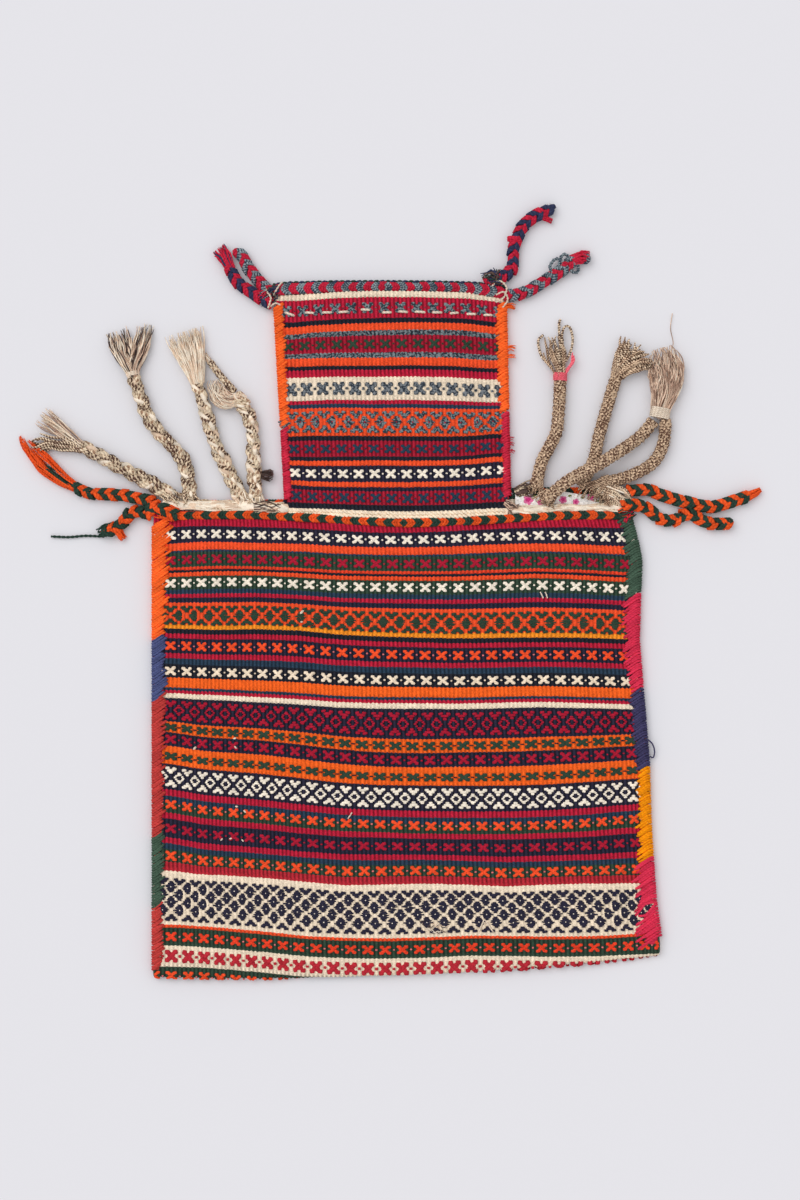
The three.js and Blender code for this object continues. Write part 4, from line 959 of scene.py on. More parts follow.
def coil(mesh, start, end, radius, turns, yarn, thin, flat=0.85):
    """Thread wound round a bundle."""
    steps = turns * 10
    start, end = np.array(start, float), np.array(end, float)
    along = (end - start) / np.linalg.norm(end - start)
    side = np.cross(along, [0, 0, 1.0])
    up = np.cross(side, along)
    t = np.arange(steps + 1) / steps
    angle = 2 * math.pi * turns * t
    path = start + np.outer(t, end - start) + radius * (np.outer(np.cos(angle), side)
                                                        + flat * np.outer(np.sin(angle), up))
    path[:, 2] = np.maximum(path[:, 2], thin + 0.05)
    tube(mesh, path, thin, yarn, 5)


# Twined chains along the shoulders and the mouth
SHOULDER_CHAIN = [
    (-187, 89.3), (-153, 89.9), (-122, 90.1), (-92, 88.8), (-59.7, 87.0), (-30, 85.2), (-5, 83.9),
    (22, 84.4), (49.5, 85.4), (80, 87.4), (112, 89.3), (145, 90.0), (172, 89.6),
]
MOUTH_LINE = [
    (-104, 265.2), (-92, 266.6), (-75, 267.1), (-59.7, 267.5), (-17, 267.7), (26, 267.3), (55, 266.4),
    (66, 265.2), (77, 263.2),
]
BACK_CHAINS = {
    "left": [(-192, 97.4, 0.9), (-160, 97.6, 0.9), (-125, 98.2, 0.9), (-97, 98.6, 0.9)],
    "right": [(84, 107.2, 0.9), (105, 107.6, 0.9), (140, 108.4, 0.9), (168, 109.2, 0.9)],
}
mouth_front, mouth_upper, mouth_lower = [
    [(x, y + rise, z) for x, y in MOUTH_LINE] for rise, z in ((0.0, 6.0), (4.3, 2.3), (1.2, 2.0))
]
shoulder_front = [(x, y, on_face(x, y)) for x, y in SHOULDER_CHAIN]
piece("shoulder_chain_front", "orange_wool", ["shoulder_edging_front"],
      (chain, shoulder_front, -1.0, 6.5, 2.6, [GREEN, ORANGE], 0.3, 1.06))
piece("mouth_chain_front", "grey_wool", ["mouth_edging_front"],
      (chain, mouth_front, -18.5, 5.85, 3.7, [RED, GREY], 0.0))
piece("mouth_chain_back", "navy_wool", ["mouth_edging_back"],
      (rope, route(mouth_upper, 1.4), 2.2, [NAVY, GREEN], 9.0),
      (rope, route(mouth_lower, 1.4), 1.9, [NAVY, NAVY], 9.0))
for side, line in BACK_CHAINS.items():
    piece("shoulder_chain_back_" + side, "orange_wool", ["shoulder_edging_back_" + side],
          (chain, line, 0.0, 6.72, 3.4, [GREEN, ORANGE], 0.3))

# Two twined rows of cream wool at the foot of the neck
TWINE_PITCH, TWINE_ROWS, TWINE_MARGIN = 3.3, (1.6, 4.3), 3.0
TWINE_SHAPE = [(-1.0, -0.6), (-0.55, 0.5), (0.0, 0.8), (0.55, 0.5), (1.0, -0.6)]
foot_x, foot_y, _ = neck_points(NECK, foot_level).T
mesh = Mesh()
for x in np.arange(foot_x[0] + TWINE_MARGIN, foot_x[-1] - TWINE_MARGIN, TWINE_PITCH):
    for drop in TWINE_ROWS:
        y = np.interp(x, foot_x, foot_y) - drop + rng.uniform(-0.2, 0.2)
        long, fall = rng.uniform(1.8, 2.2), rng.uniform(1.0, 1.4)
        tube(mesh, [(x + long * t, y - fall * t, on_face(x, y, h)) for t, h in TWINE_SHAPE],
             rng.uniform(1.05, 1.25), "cream", 6, rng.uniform(0.98, 1.1), 0.8)
finish_piece(mesh, "neck_foot_twining", "cream_wool")

# Rows of bound warp ends at the shoulders: a flat core under loose strands
for side, line, radius, flat, *strands in [
    ("left", [(-190, 98.0, 6.2), (-160, 97.8, 6.4), (-125, 97.2, 6.4), (-93, 95.2, 6.4)], 3.6, 0.55,
     110, 30.0, 0.8, ["hair_light", "hair_light", "hair_light", "marl_light"], 3.6, 1.6),
    ("right", [(83, 93.6, 6.2), (110, 94.8, 6.4), (145, 95.6, 6.4), (176, 95.8, 6.2)], 2.6, 0.6,
     90, 24.0, 0.75, ["hair_light", "hair_light", "marl_light"], 2.8, 1.5),
]:
    piece("shoulder_warp_ends_" + side, "undyed_wool", ["shoulder_warps_" + side],
          (tube, route(line, 4.0), radius, "hair_light", 10, 1.05, flat), (tangle, line, *strands))

# Plaits and braids: each has its style, its far end and its points from the corner that it hangs at.
# A point without a height lies on the floor.
LEFT_SHOULDER, RIGHT_SHOULDER = np.array([[BODY_LEFT, SHOULDER_Y, 0.0], [BODY_TOP_RIGHT, SHOULDER_Y, 0.0]])
MOUTH_LEFT, MOUTH_RIGHT = np.array([[NECK_TOP_LEFT, MOUTH_Y, 0.0], [NECK_TOP_RIGHT, MOUTH_Y, 0.0]])
LIGHT = [["marl_light", "marl_strand", "hair_light"], ["hair_light", "marl_light", "marl_strand"],
         ["marl_light", "hair_light", "marl_mixed"]]
MIXED = [["hair_light", "marl_light", "marl_light"], ["marl_mixed", "marl_mixed", "marl_light"],
         ["marl_mixed", "marl_mixed", "marl_mixed"]]
CORD_STYLES = {
    "mixed": (MIXED, "plait", "undyed_wool"),
    "light": (LIGHT, "plait", "undyed_wool"),
    "brown": (["marl_brown"], "round", "brown_wool"),
    "orange": ([ORANGE, GREEN], "braid", "orange_wool"),
    "grey": ([RED, GREY], "braid", "grey_wool"),
    "navy": ([RED, NAVY], "braid", "navy_wool"),
    "tail": ([GREEN, GREEN], "tail", "green_wool"),
}
LIE_Z = {"plait": 5.5, "round": 5.5, "braid": 4.1, "tail": 1.5}
CORD_STEP = 1.3
CORDS = {
    "plait_left_1": (LEFT_SHOULDER, "mixed", "bare", [
        (14.4, 11.9, 6.5), (1, 19.5, 5.8), (-10.5, 25.5), (-29, 35), (-44.5, 44), (-57.5, 50.5)]),
    "plait_left_2": (LEFT_SHOULDER, "mixed", "bare", [
        (27.5, 9.1, 6.5), (26.5, 21.5, 5.8), (25, 33.5), (19, 45), (9.5, 55), (1, 65), (-5.5, 76),
        (-11.5, 91.5), (-16, 104)]),
    "plait_left_3": (LEFT_SHOULDER, "light", "bare", [
        (67.3, 11.3, 6.5), (63, 20.5, 5.8), (56, 34.5), (49, 49.5), (44.5, 63), (40, 77.5), (36, 91),
        (33.5, 100.5)]),
    "plait_left_4": (LEFT_SHOULDER, "light", "knot", [
        (80, 10.9, 6.5), (78.5, 22.5, 5.8), (77.5, 41.5), (77.5, 57.5), (75, 70), (70, 81)]),
    "plait_right_1": (RIGHT_SHOULDER, "brown", "bare", [
        (-71, 18.5), (-66.5, 38), (-60, 50.5), (-55, 61.5), (-53.5, 74), (-52.5, 88), (-52, 101)]),
    "plait_right_2": (RIGHT_SHOULDER, "brown", "bare", [
        (-35.2, 19.7), (-29.5, 31.5), (-25, 42), (-22.5, 55), (-18.5, 70), (-14, 85.5), (-10, 99),
        (-6.5, 108.5)]),
    "plait_right_3": (RIGHT_SHOULDER, "brown", "knot", [
        (-63, 8.9, 11.6), (-51, 19.5, 15.4), (-38, 28, 16.8), (-24, 35, 16.2), (-8, 45, 11),
        (5.5, 54, 6.6), (14.5, 62), (20.5, 69.7)]),
    "plait_right_4": (RIGHT_SHOULDER, "brown", "knot", [
        (-19, 22.1), (-7, 24.3), (5.5, 28.5), (17.5, 35), (25, 43.5), (29, 55), (30.5, 71)]),
    "braid_left_upper": (LEFT_SHOULDER, "orange", "bare", [
        (-0.7, 6.5, 4.2), (-7, 8.5), (-13, 10), (-25, 12), (-37, 13), (-48.5, 13.5), (-57, 16), (-63, 19)]),
    "braid_left_lower": (LEFT_SHOULDER, "orange", "bare", [
        (-2.9, -3.3, 4.4), (-9, -1.7, 4.2), (-15, -1), (-20, -3), (-23.5, -7.5), (-28.5, -12),
        (-34.5, -15.5), (-39, -19)]),
    "braid_left_lower_tail": (LEFT_SHOULDER, "tail", "bare", [
        (-39.8, -20.1), (-54, -19.5), (-67, -20.5), (-81, -20)]),
    "braid_right_upper": (RIGHT_SHOULDER, "orange", "bare", [
        (0.6, 15.5, 4.6), (17, 16), (30, 11.5), (40, 8.5), (50.5, 6), (59.5, 4), (68, 3.5), (76.5, 5.5),
        (86.5, 8.5), (96, 12)]),
    "braid_right_lower": (RIGHT_SHOULDER, "orange", "bare", [
        (-4, 4.3, 7.9), (3, 4.5, 7.7), (9.5, 4, 5.6), (15, 2.3, 4.3), (20.5, -1.5), (25, -5.5),
        (31, -7.5), (38, -7), (43.5, -4), (48.5, -3), (54, -4), (59.5, -7.5), (66.5, -10), (74.5, -10),
        (82, -9.5)]),
    "mouth_braid_left_grey": (MOUTH_LEFT, "grey", "bare", [
        (-1.9, -7.9, 4.4), (-10.5, -0.5), (-15.5, 5), (-19, 10), (-22.5, 15), (-26, 21.5), (-30, 26)]),
    "mouth_braid_left_navy": (MOUTH_LEFT, "navy", "bare", [
        (-2.2, -16.1, 4.4), (-12, -11.1), (-21, -5), (-27, -1), (-31, 4), (-33.5, 8.5), (-35.5, 13)]),
    "mouth_braid_right_navy": (MOUTH_RIGHT, "navy", "bare", [
        (-14, -0.7), (-4.5, 3), (3, 8), (7, 13.5), (7.5, 20), (8, 27), (10, 33.5), (12.5, 40),
        (17, 46.5), (24, 52), (31, 55.5), (37.5, 58.5)]),
    "mouth_braid_right_grey": (MOUTH_RIGHT, "grey", "bare", [
        (0.3, -9.1, 4.4), (11, -9), (18, -6.5), (25.5, -2.5), (33, 2), (39.5, 6), (46, 10.5), (52.5, 16),
        (59.5, 19.5), (66.5, 19.5)]),
}
made_cords = {}
for name, (corner, style, far_end, points) in CORDS.items():
    keys, kind, slot = CORD_STYLES[style]
    path = route(corner + np.array([(*point, LIE_Z[kind])[:3] for point in points]), CORD_STEP)
    made = piece(name + "_wool", slot, [name], *{
        "plait": [(plait, path, keys), (fuzz, path, 5.0, 90, "hair_light", 2.5)],
        "round": [(round_braid, path, keys), (fuzz, path, 5.0, 110, "hair_brown", 2.5)],
        "braid": [(chevron_braid, path, keys), (fuzz, path, 4.2, 30, keys[0], 1.7)],
        "tail": [(rope, path, 1.1, keys, 7.0)],
    }[kind])
    made_cords[name] = made, path, kind, far_end


# Open ends, ties and knots of the cords. Two brown plaits are tied into a pair and share their end.

HAIR = ["hair_light", "hair_light", "hair_brown"]
STRANDS = ["marl_strand", "marl_brown"]
PAIRED = {"plait_right_4": "plait_right_pair"}
ends = {}


def end(cord, name, slot, node, *parts):
    """An end of a cord; its name and the node that it stands for start with the cord's name."""
    start = PAIRED.get(cord, cord) + "_"
    ends.setdefault(cord, []).append(piece(start + name, slot, [start + node] if node else [], *parts))


def near(corner, *stations):
    """Stations or points that are measured from a corner."""
    return [[corner[0] + x, corner[1] + y, *rest] for x, y, *rest in stations]


end("plait_left_1", "open_end", "undyed_wool", "tassel",
    (bundle, near(LEFT_SHOULDER, (-56, 50, 5.4, 3.6, 3), (-72, 62, 4.6, 6, 2.6), (-92, 76, 3, 9.5, 2)),
     46, 0.42, HAIR, 1.2, 0.22, 4, 4),
    (bundle, near(LEFT_SHOULDER, (-56, 49, 5, 3.4, 2.6), (-74, 53, 4.6, 5.2, 3), (-99, 54, 3, 6.2, 2)),
     12, 1.15, ["marl_mixed"], 2.2, 0.22, 6))
end("plait_left_2", "open_end", "undyed_wool", "tassel", *[
    (bundle, near(LEFT_SHOULDER, *stations), count, 0.5, [*HAIR, "dark_fuzz"], 1.6, 0.45, 4, 5, True)
    for count, *stations in [
        (85, (-16.5, 104.5, 5.3, 4, 4), (-19.5, 112, 5.2, 5, 4), (-26.5, 125, 4.4, 7, 3),
         (-32.5, 143, 3.4, 7.5, 2.2)),
        (85, (-15.5, 104.5, 5.3, 4, 4), (-16, 112, 5.2, 5, 4), (-11.5, 127, 4.4, 7, 3),
         (-6.5, 149, 3.2, 6.5, 2.2)),
        (16, (-17, 107, 6, 2.4, 2), (-20, 126, 5, 3.2, 1.6), (-22.5, 148, 3, 2.4, 1)),
    ]])
end("plait_left_2", "thread", "cream_wool", "wrap",
    (coil, (-213.6, 199.4, 5.4), (-214.4, 202.4, 5.4), 4.8, 3, THREAD, 0.65))
end("plait_left_3", "open_end", "undyed_wool", "tassel",
    (bundle, near(LEFT_SHOULDER, (34, 99, 5.3, 4.6, 4.2), (31, 112, 5, 8, 3.6), (27, 126, 4.2, 12, 3),
                  (22, 143, 3.2, 14.5, 2.2)), 180, 0.52, ["hair_light"], 1.0, 0.4, 4, 16, True))
end("plait_left_4", "wound_knot", "undyed_wool", "knot",
    (coil, (-126.8, 173, 5.4), (-131.6, 182, 5.6), 4.4, 3, "marl_light", 1.7),
    (rope, route([(-124, 172, 6), (-129, 175, 9.6), (-134, 181, 8.4), (-131, 185, 6), (-127, 182, 8.6),
                  (-123, 177, 7)], CORD_STEP), 2.4, ["marl_light", "hair_light"], 9.0))
end("plait_left_4", "curl", "undyed_wool", "hank",
    (bundle, near(LEFT_SHOULDER, (67, 87, 6, 3, 3), (57, 86, 7, 6, 4), (50.5, 90, 6.4, 6.4, 4.2),
                  (48.5, 97, 5, 5.4, 3), (48, 105, 3.6, 3, 2)), 150, 0.42, HAIR, 2.8, 0.7, 4, 0, True))
end("plait_left_4", "thin_tail", "undyed_wool", "tail",
    (rope, route([(-134.4, 186.8, 5), (-140, 193, 4.4), (-147, 201, 4), (-153.5, 210, 3.4)], CORD_STEP),
     2.9, ["marl_mixed", "marl_light", "marl_mixed"], 12.0),
    (bundle, [(-152, 208, 3.6, 1.8, 1.4), (-156, 214, 3, 2.6, 1.2), (-160, 219, 2.4, 3.2, 1)], 14, 0.4,
     ["hair_brown", "hair_light"], 0.9))
end("plait_right_1", "open_end", "brown_wool", "tassel",
    (bundle, near(RIGHT_SHOULDER, (-52, 102, 5.5, 3.8, 3.6), (-52.4, 109, 5.4, 4.6, 4),
                  (-55, 119, 5.2, 8, 4), (-56.5, 130, 4.6, 8.5, 3.4), (-57, 139, 3.4, 7, 2)),
     30, 1.0, STRANDS, 1.6, 0.5, 6, 7, True),
    *[(tube, route(loop, 1.5), 1.0, "marl_strand", 6) for loop in [
        [(114, 205.8, 5), (108, 211, 4.4), (104.4, 217.2, 3.6), (103.1, 226.7, 3), (106.9, 230.9, 2.8)],
        [(121.5, 207, 5.6), (119.7, 225, 5), (119.3, 240, 3), (120.6, 243, 2.4)],
        [(121, 208, 6), (121, 226, 5.6), (122.9, 236.3, 4.4), (127.3, 237.2, 3.6), (129.8, 228.6, 3.6),
         (128.6, 219.1, 4.4), (124.4, 210, 5.6)],
    ]],
    (bundle, near(RIGHT_SHOULDER, (-50, 104, 6, 2, 2), (-42, 118, 6, 1.6, 1.5), (-42, 126, 5, 1.4, 1)),
     3, 1.0, ["tie_pink_yarn"], 1.2, 0.22, 5))
end("plait_right_1", "pink_tie", "pink_wool", "tie",
    (coil, (120, 195.4, 5.5), (120, 201.6, 5.5), 4.9, 5, "tie_pink_yarn", 0.8))
end("plait_right_2", "folded_end", "brown_wool", "loops",
    (bundle, near(RIGHT_SHOULDER, (-7, 105, 5.6, 4.6, 3.8), (-1, 117, 6.4, 8, 4), (4, 126, 6, 10, 3.6),
                  (8, 134, 4, 10, 2)), 30, 1.1, STRANDS, 1.8, 0.4, 6, 8, True),
    (bundle, near(RIGHT_SHOULDER, (-6, 107, 7, 4, 3), (4, 114, 9, 6, 3), (14, 117, 8, 7.5, 3),
                  (23, 117, 5.4, 7.5, 2.6)), 26, 1.1, STRANDS, 1.4, 0.3, 6, 0, True),
    (coil, (164.6, 201.5, 5.6), (166.4, 205, 5.6), 5.0, 3, "marl_brown", 0.8))
end("plait_right_4", "thread", "cream_wool", "tie",
    (coil, (197.3, 166.2, 6.6), (198.6, 174.2, 6.6), 7.4, 6, THREAD, 0.85, 0.75))
end("plait_right_4", "open_end", "brown_wool", "tassel",
    (bundle, near(RIGHT_SHOULDER, (25.5, 74, 6.4, 6.6, 4), (27, 82, 6.4, 7.4, 4.4), (30, 95, 6, 11, 4.4),
                  (31, 110, 5, 13, 3.6), (26, 130, 3.8, 6.5, 2.4)), 180, 0.5,
     ["hair_brown", "hair_brown", "hair_brown", "hair_light"], 3.0, 0.4, 4, 14, True),
    (tube, route([(205, 214, 4), (208.5, 224, 3), (206.5, 236, 2), (208, 248, 1.2)], 2.5), 0.35,
     "hair_brown", 4))
end("braid_left_upper", "open_end", "orange_wool", "tassel",
    (bundle, near(LEFT_SHOULDER, (-61, 18, 4.1, 3.4, 2.8), (-75, 27, 4.2, 6, 2.8),
                  (-87.5, 38, 3.6, 7.5, 2.4), (-99, 51, 3, 4, 1.8), (-105, 62, 2, 2, 1)),
     40, 0.7, [ORANGE], 1.6, 0.35, 5, 5),
    (bundle, near(LEFT_SHOULDER, (-66, 19, 5, 2, 1.5), (-80, 30, 5, 3, 1.5), (-92, 37, 3, 2, 1)), 8, 0.8,
     [GREEN], 0.8, 0.22, 5))
end("braid_left_lower", "open_end", "green_wool", None,
    (bundle, [(-229, 80, 4.2, 3, 2.4), (-224, 75.5, 4.4, 3, 2.2), (-219.5, 69, 3, 2.2, 1.4)], 14, 0.75,
     [ORANGE], 0.8, 0.22, 5),
    (bundle, [(-229, 81, 4.4, 3.4, 2.6), (-236, 78, 4.2, 4.2, 2.6), (-243, 74.5, 3, 2.4, 1.6)], 22, 0.75,
     [GREEN], 1.0, 0.4, 5))
end("braid_right_upper", "end", "orange_wool", "tip",
    (bundle, near(RIGHT_SHOULDER, (94, 11, 4.1, 3.4, 2.8), (100, 14, 3.8, 2.8, 2.4), (107, 18, 2.6, 1.2, 1)),
     26, 0.7, [ORANGE], 0.5, 0.22, 5))
end("mouth_braid_left_navy", "open_end", "crimson_wool", "tassel",
    (bundle, near(MOUTH_LEFT, (-34, 10, 4.1, 3.2, 2.6), (-39, 20, 4, 5, 2.6), (-46, 29, 2.6, 7, 2)),
     26, 0.8, [RED, RED, NAVY], 1.1, 0.22, 5))
end("mouth_braid_right_navy", "open_end", "navy_wool", None,
    (bundle, near(MOUTH_RIGHT, (34, 56.5, 4.1, 3.2, 2.6), (38, 59, 4, 2.2, 2), (42, 61.5, 3, 1.2, 1)),
     16, 0.8, [NAVY], 0.5, 0.22, 5),
    (bundle, near(MOUTH_RIGHT, (30, 52, 4, 2, 2), (35, 49.5, 4, 1.8, 1.6), (40.5, 47.5, 3, 1.6, 1.2)),
     11, 0.75, [RED], 0.8, 0.22, 5),
    (bundle, near(MOUTH_RIGHT, (3, 34.5, 5.6, 1.6, 1.4), (9, 34, 7.4, 2.2, 1.4), (16, 33.2, 5.4, 1.6, 1.2)),
     11, 0.75, [RED], 0.8, 0.22, 5),
    (tube, route(near(MOUTH_RIGHT, (10, 37, 6), (15, 38.5, 4.6), (19.5, 42.5, 2.4)), 1.5), 0.9, NAVY, 6))
end("mouth_braid_right_grey", "open_end", "crimson_wool", None,
    (bundle, near(MOUTH_RIGHT, (54, 17, 5, 3, 2.4), (61, 20, 5.4, 4.4, 3), (69, 19, 3.6, 4.2, 2.2)),
     40, 0.85, [RED], 1.6, 0.3, 5),
    *[(rope, route(near(MOUTH_RIGHT, *loop), CORD_STEP), 1.5, [GREY, GREY], 6.0) for loop in [
        [(38, 7, 6), (36, 13, 5.4), (40, 18.5, 4.6), (44.5, 18, 4.4), (45.5, 13, 6)],
        [(43, 12, 6.4), (44, 19, 5.6), (47.5, 22.5, 4.8), (50.5, 20, 5), (49.5, 15, 6.4)],
        [(50, 13, 6), (54, 8.5, 4.6), (58, 9, 4), (58, 13.5, 5)],
    ]])

# Roots of the plaits, spread over the shoulders, and tufts between them
MIXED_ROOT, LIGHT_ROOT = ["marl_mixed", "marl_light"], ["marl_light", "hair_light"]
piece("shoulder_roots_left", "undyed_wool", [], *[
    (bundle, stations, 30, 0.8, keys, 1.4, 0.3, 5) for keys, *stations in [
        (MIXED_ROOT, (-190, 109, 6.2, 4.6, 3), (-182, 103, 7, 5.5, 2.6), (-174, 98, 7.2, 8, 1.6)),
        (MIXED_ROOT, (-170, 112, 6.2, 4.6, 3), (-169.5, 104, 7, 5.2, 2.8), (-167, 97, 7.4, 8.5, 1.6)),
        (LIGHT_ROOT, (-132, 110, 6.2, 4.6, 3), (-129, 103, 7, 5.4, 2.8), (-126, 96.5, 7.4, 8.5, 1.6)),
        (LIGHT_ROOT, (-117.6, 110, 6.2, 4.6, 3), (-117, 103, 7, 5.2, 2.8), (-116, 96.5, 7.4, 8, 1.6)),
    ]],
    (bundle, [(-119, 96, 7.4, 4.2, 1.6), (-108, 97, 7.4, 4.6, 2), (-95, 95.5, 7.2, 3.4, 1.6)], 26, 0.5,
     ["dark_fuzz", "hair_brown", "hair_light"], 2.0, 0.5))
piece("shoulder_tuft_left", "brown_wool", [],
      (bundle, [(-114.5, 121, 5.4, 2, 2), (-109, 121.6, 5.2, 4.8, 3), (-101.8, 121, 3.6, 3.4, 2)], 70, 0.32,
       ["dark_fuzz"], 1.2, 0.5))
piece("shoulder_roots_right", "brown_wool", [], *[
    (bundle, stations, count, 0.8, ["marl_brown"], 1.8, 0.35, 5) for count, *stations in [
        (60, (160, 117, 6, 5, 3.4), (152, 111, 7.4, 8, 3), (147, 104, 7.8, 15, 2),
         (145, 97.5, 7.6, 18, 1.2)),
        (34, (113, 107, 11, 5, 3), (107.5, 101, 9.6, 7, 2.4), (105.5, 96.5, 8, 11, 1.4)),
        (26, (102, 117, 6, 5, 3.4), (100.5, 109.5, 6.4, 6, 3), (100, 104, 6, 7, 1.5)),
    ]],
    (bundle, [(150, 112, 7, 4, 2.4), (162, 107, 7.4, 6.5, 2.4), (171, 101.5, 7.2, 6, 2),
              (177, 97, 6.4, 4, 1.4)],
     50, 0.7, ["hair_light", "marl_light", "marl_strand"], 1.8, 0.35, 5, 0, True))
piece("shoulder_tufts_right", "brown_wool", [],
      (bundle, [(85, 108, 4.6, 3, 2.4), (93, 111, 5.8, 5.4, 3), (104, 110.5, 5.4, 4, 2.4)], 40, 0.7,
       ["dark_fuzz", "dark_fuzz", "marl_mixed"], 2.6, 0.6, 5),
      (bundle, [(77, 100.5, 6.6, 2.4, 1.4), (82, 97.5, 7, 3.4, 2), (90, 95, 7, 2.4, 1.6)], 30, 0.45,
       ["dark_fuzz", "hair_brown"], 2.0, 0.5))

# The strip of printed cotton inside the back: flowers and leaves as fields of colour
FLOWERS = [(94.8, 101.8, 3.3), (104.5, 100.0, 2.4), (113.5, 103.6, 2.6), (122.0, 101.8, 2.6),
           (132.0, 100.2, 2.2), (144.5, 104.6, 3.2)]
LEAVES = [(88.8, 104.6, 1.2), (99.6, 105.0, 1.4), (109.0, 105.2, 1.2), (127.4, 105.0, 1.4),
          (137.6, 103.6, 1.5), (149.0, 100.8, 1.2)]
LINING_LEFT, LINING_RIGHT, LINING_HEIGHT, LINING_STEP = 85.0, 151.0, 10.6, 0.55
LINING_Y, LINING_Z, LINING_THICKNESS = 96.4, 4.75, 0.4


def print_colour(x, y):
    key = "cotton"
    for fx, fy, size in FLOWERS:
        far = math.hypot(x - fx, y - fy)
        petal = size * (1.1 + 0.14 * math.cos(5 * math.atan2(y - fy, x - fx) + fx))
        if far < petal:
            key = "cotton_rose" if far < 0.5 * petal else "cotton_pink"
    for fx, fy, size in LEAVES:
        if math.hypot((x - fx) * 0.6, y - fy - 0.3 * (x - fx)) < size * 0.6:
            key = "leaf"
    return key


grid_x, grid_v = np.meshgrid(np.arange(LINING_LEFT, LINING_RIGHT, LINING_STEP),
                             np.arange(0.0, LINING_HEIGHT, LINING_STEP))
wrinkle = 0.35 * np.sin(grid_x * 0.55 + grid_v * 0.3) + 0.25 * np.sin(grid_x * 0.21 - grid_v * 0.6)
grid_y = LINING_Y + grid_v * (1 + 0.12 * np.sin(grid_x * 0.17)) + 0.012 * (grid_x - LINING_LEFT)
lining_points = np.column_stack([grid_x.ravel(), grid_y.ravel(), (LINING_Z + wrinkle).ravel()])
tall, wide = grid_x.shape
fields = {}
for row in range(tall - 1):
    for a in range(row * wide, row * wide + wide - 1):
        key = print_colour(*lining_points[a][:2])
        fields.setdefault(key, []).append((a, a + 1, a + wide + 1, a + wide))
mesh = Mesh()
for key, faces in fields.items():
    used = sorted({v for face in faces for v in face})
    index = {v: k for k, v in enumerate(used)}
    mesh.add(lining_points[used], [tuple(index[v] for v in face) for face in faces], key)
lining = finish_piece(mesh, "lining_cotton", "printed_cotton", "lining_strip")
thicken(lining, LINING_THICKNESS)

# A running stitch of thread below the mouth
STITCHES = [(-91.3, 247.0), (-75.3, 247.8), (-61.5, 247.7), (-49.1, 248.1), (-31.7, 249.8), (-15.4, 247.7),
            (-2.7, 248.2), (10.5, 248.0), (23.8, 247.6), (37.1, 247.2), (50.3, 246.8), (63.6, 246.2)]
STITCH_SHAPE = [(-1.1, 0.3), (-0.8, 1.25), (0, 1.6), (0.8, 1.25), (1.1, 0.3)]
FIRST_TILT = -0.35
mesh = Mesh()
for k, (x, y) in enumerate(STITCHES):
    tilt = FIRST_TILT if k == 0 else rng.uniform(-0.08, 0.08)
    half = rng.uniform(2.6, 3.4)
    z = on_face(x, y)
    tube(mesh, [(x + half * t, y + half * t * tilt, z + h) for t, h in STITCH_SHAPE], 0.95, THREAD, 6)
finish_piece(mesh, "mouth_running_stitch", "cream_wool")

# Loose yarns at the corners of the mouth and of the shoulders
DARK = [NAVY, GREEN, "dark_fuzz"]
piece("mouth_corner_threads", "cream_wool", [], *[
    (rope, route(points, 1.2), 0.85, [THREAD, THREAD], 5.0, 5) for points in [
        [(-97, 272, 5.5), (-99, 269.5, 8.8), (-102, 264.5, 9), (-103.5, 261.5, 7)],
        [(-110, 267, 6.5), (-108.5, 264, 9), (-105.8, 259.7, 9.4), (-106.5, 255.5, 9.2), (-108, 251.5, 7.5)],
        [(-106, 253, 8), (-102, 255.3, 8.8), (-98.5, 254, 7.6)],
        [(66, 268, 7), (72, 273, 7.5), (78, 268, 8), (76, 260, 8.5), (70, 256, 8.5)],
        [(70, 262, 8), (76, 264, 9), (79, 258, 8), (75, 252, 8)],
    ]])
piece("mouth_corner_tufts", "navy_wool", [], *[
    (bundle, stations, count, radius, keys, wave, 0.5, 5) for count, radius, keys, wave, *stations in [
        (40, 0.6, DARK, 2.4, (-98, 268, 5, 2, 2), (-104, 264, 6.6, 5.5, 3), (-108, 257, 6.4, 4.4, 2.6)),
        (30, 0.55, [NAVY, RED, GREY], 2.0, (-106, 266, 6, 2.4, 2), (-113, 260, 5.6, 4.6, 2.6),
         (-119, 255, 4, 4.4, 2)),
        (40, 0.65, DARK, 2.2, (74, 272, 5, 3, 2.4), (66, 275, 5.6, 6.4, 3.2), (57, 272, 4.4, 4.6, 2.4)),
        (40, 0.65, DARK, 2.2, (68, 271, 5, 3, 2.4), (71, 277, 5.6, 5, 3), (73.5, 284, 4, 2.6, 2)),
    ]])
piece("shoulder_corner_yarns", "orange_wool", [], *[
    (bundle, stations, count, 0.85, keys, wave, 0.4, 5) for count, keys, wave, *stations in [
        (24, [ORANGE], 1.2, (-178, 92, 7.4, 2.6, 1.8), (-187, 93, 7.6, 4.6, 2.4), (-195, 90, 7, 4.2, 2.2)),
        (18, [ORANGE, GREEN], 1.0, (-182, 88, 7.6, 2.6, 1.6), (-190, 91, 8.2, 3.4, 2),
         (-199, 94, 6.2, 4.4, 2.6)),
        (22, [ORANGE, GREEN], 1.2, (166, 91, 7.4, 2.6, 1.8), (173, 93, 7.6, 4.2, 2.4),
         (180, 93, 6.2, 3.6, 2.4)),
        (14, [RED, GREEN], 1.0, (172, 84, 7.2, 2.6, 1.6), (175, 90, 7.6, 3.4, 2), (180, 95, 6, 3.4, 2.2)),
    ]],
    (chevron_braid, route([(-178, 89.8, 8.6), (-185, 92, 8.6), (-191.5, 96, 7.6), (-197.5, 96, 6),
                           (-202.5, 92.6, 4.6)], CORD_STEP), [GREEN, ORANGE]))

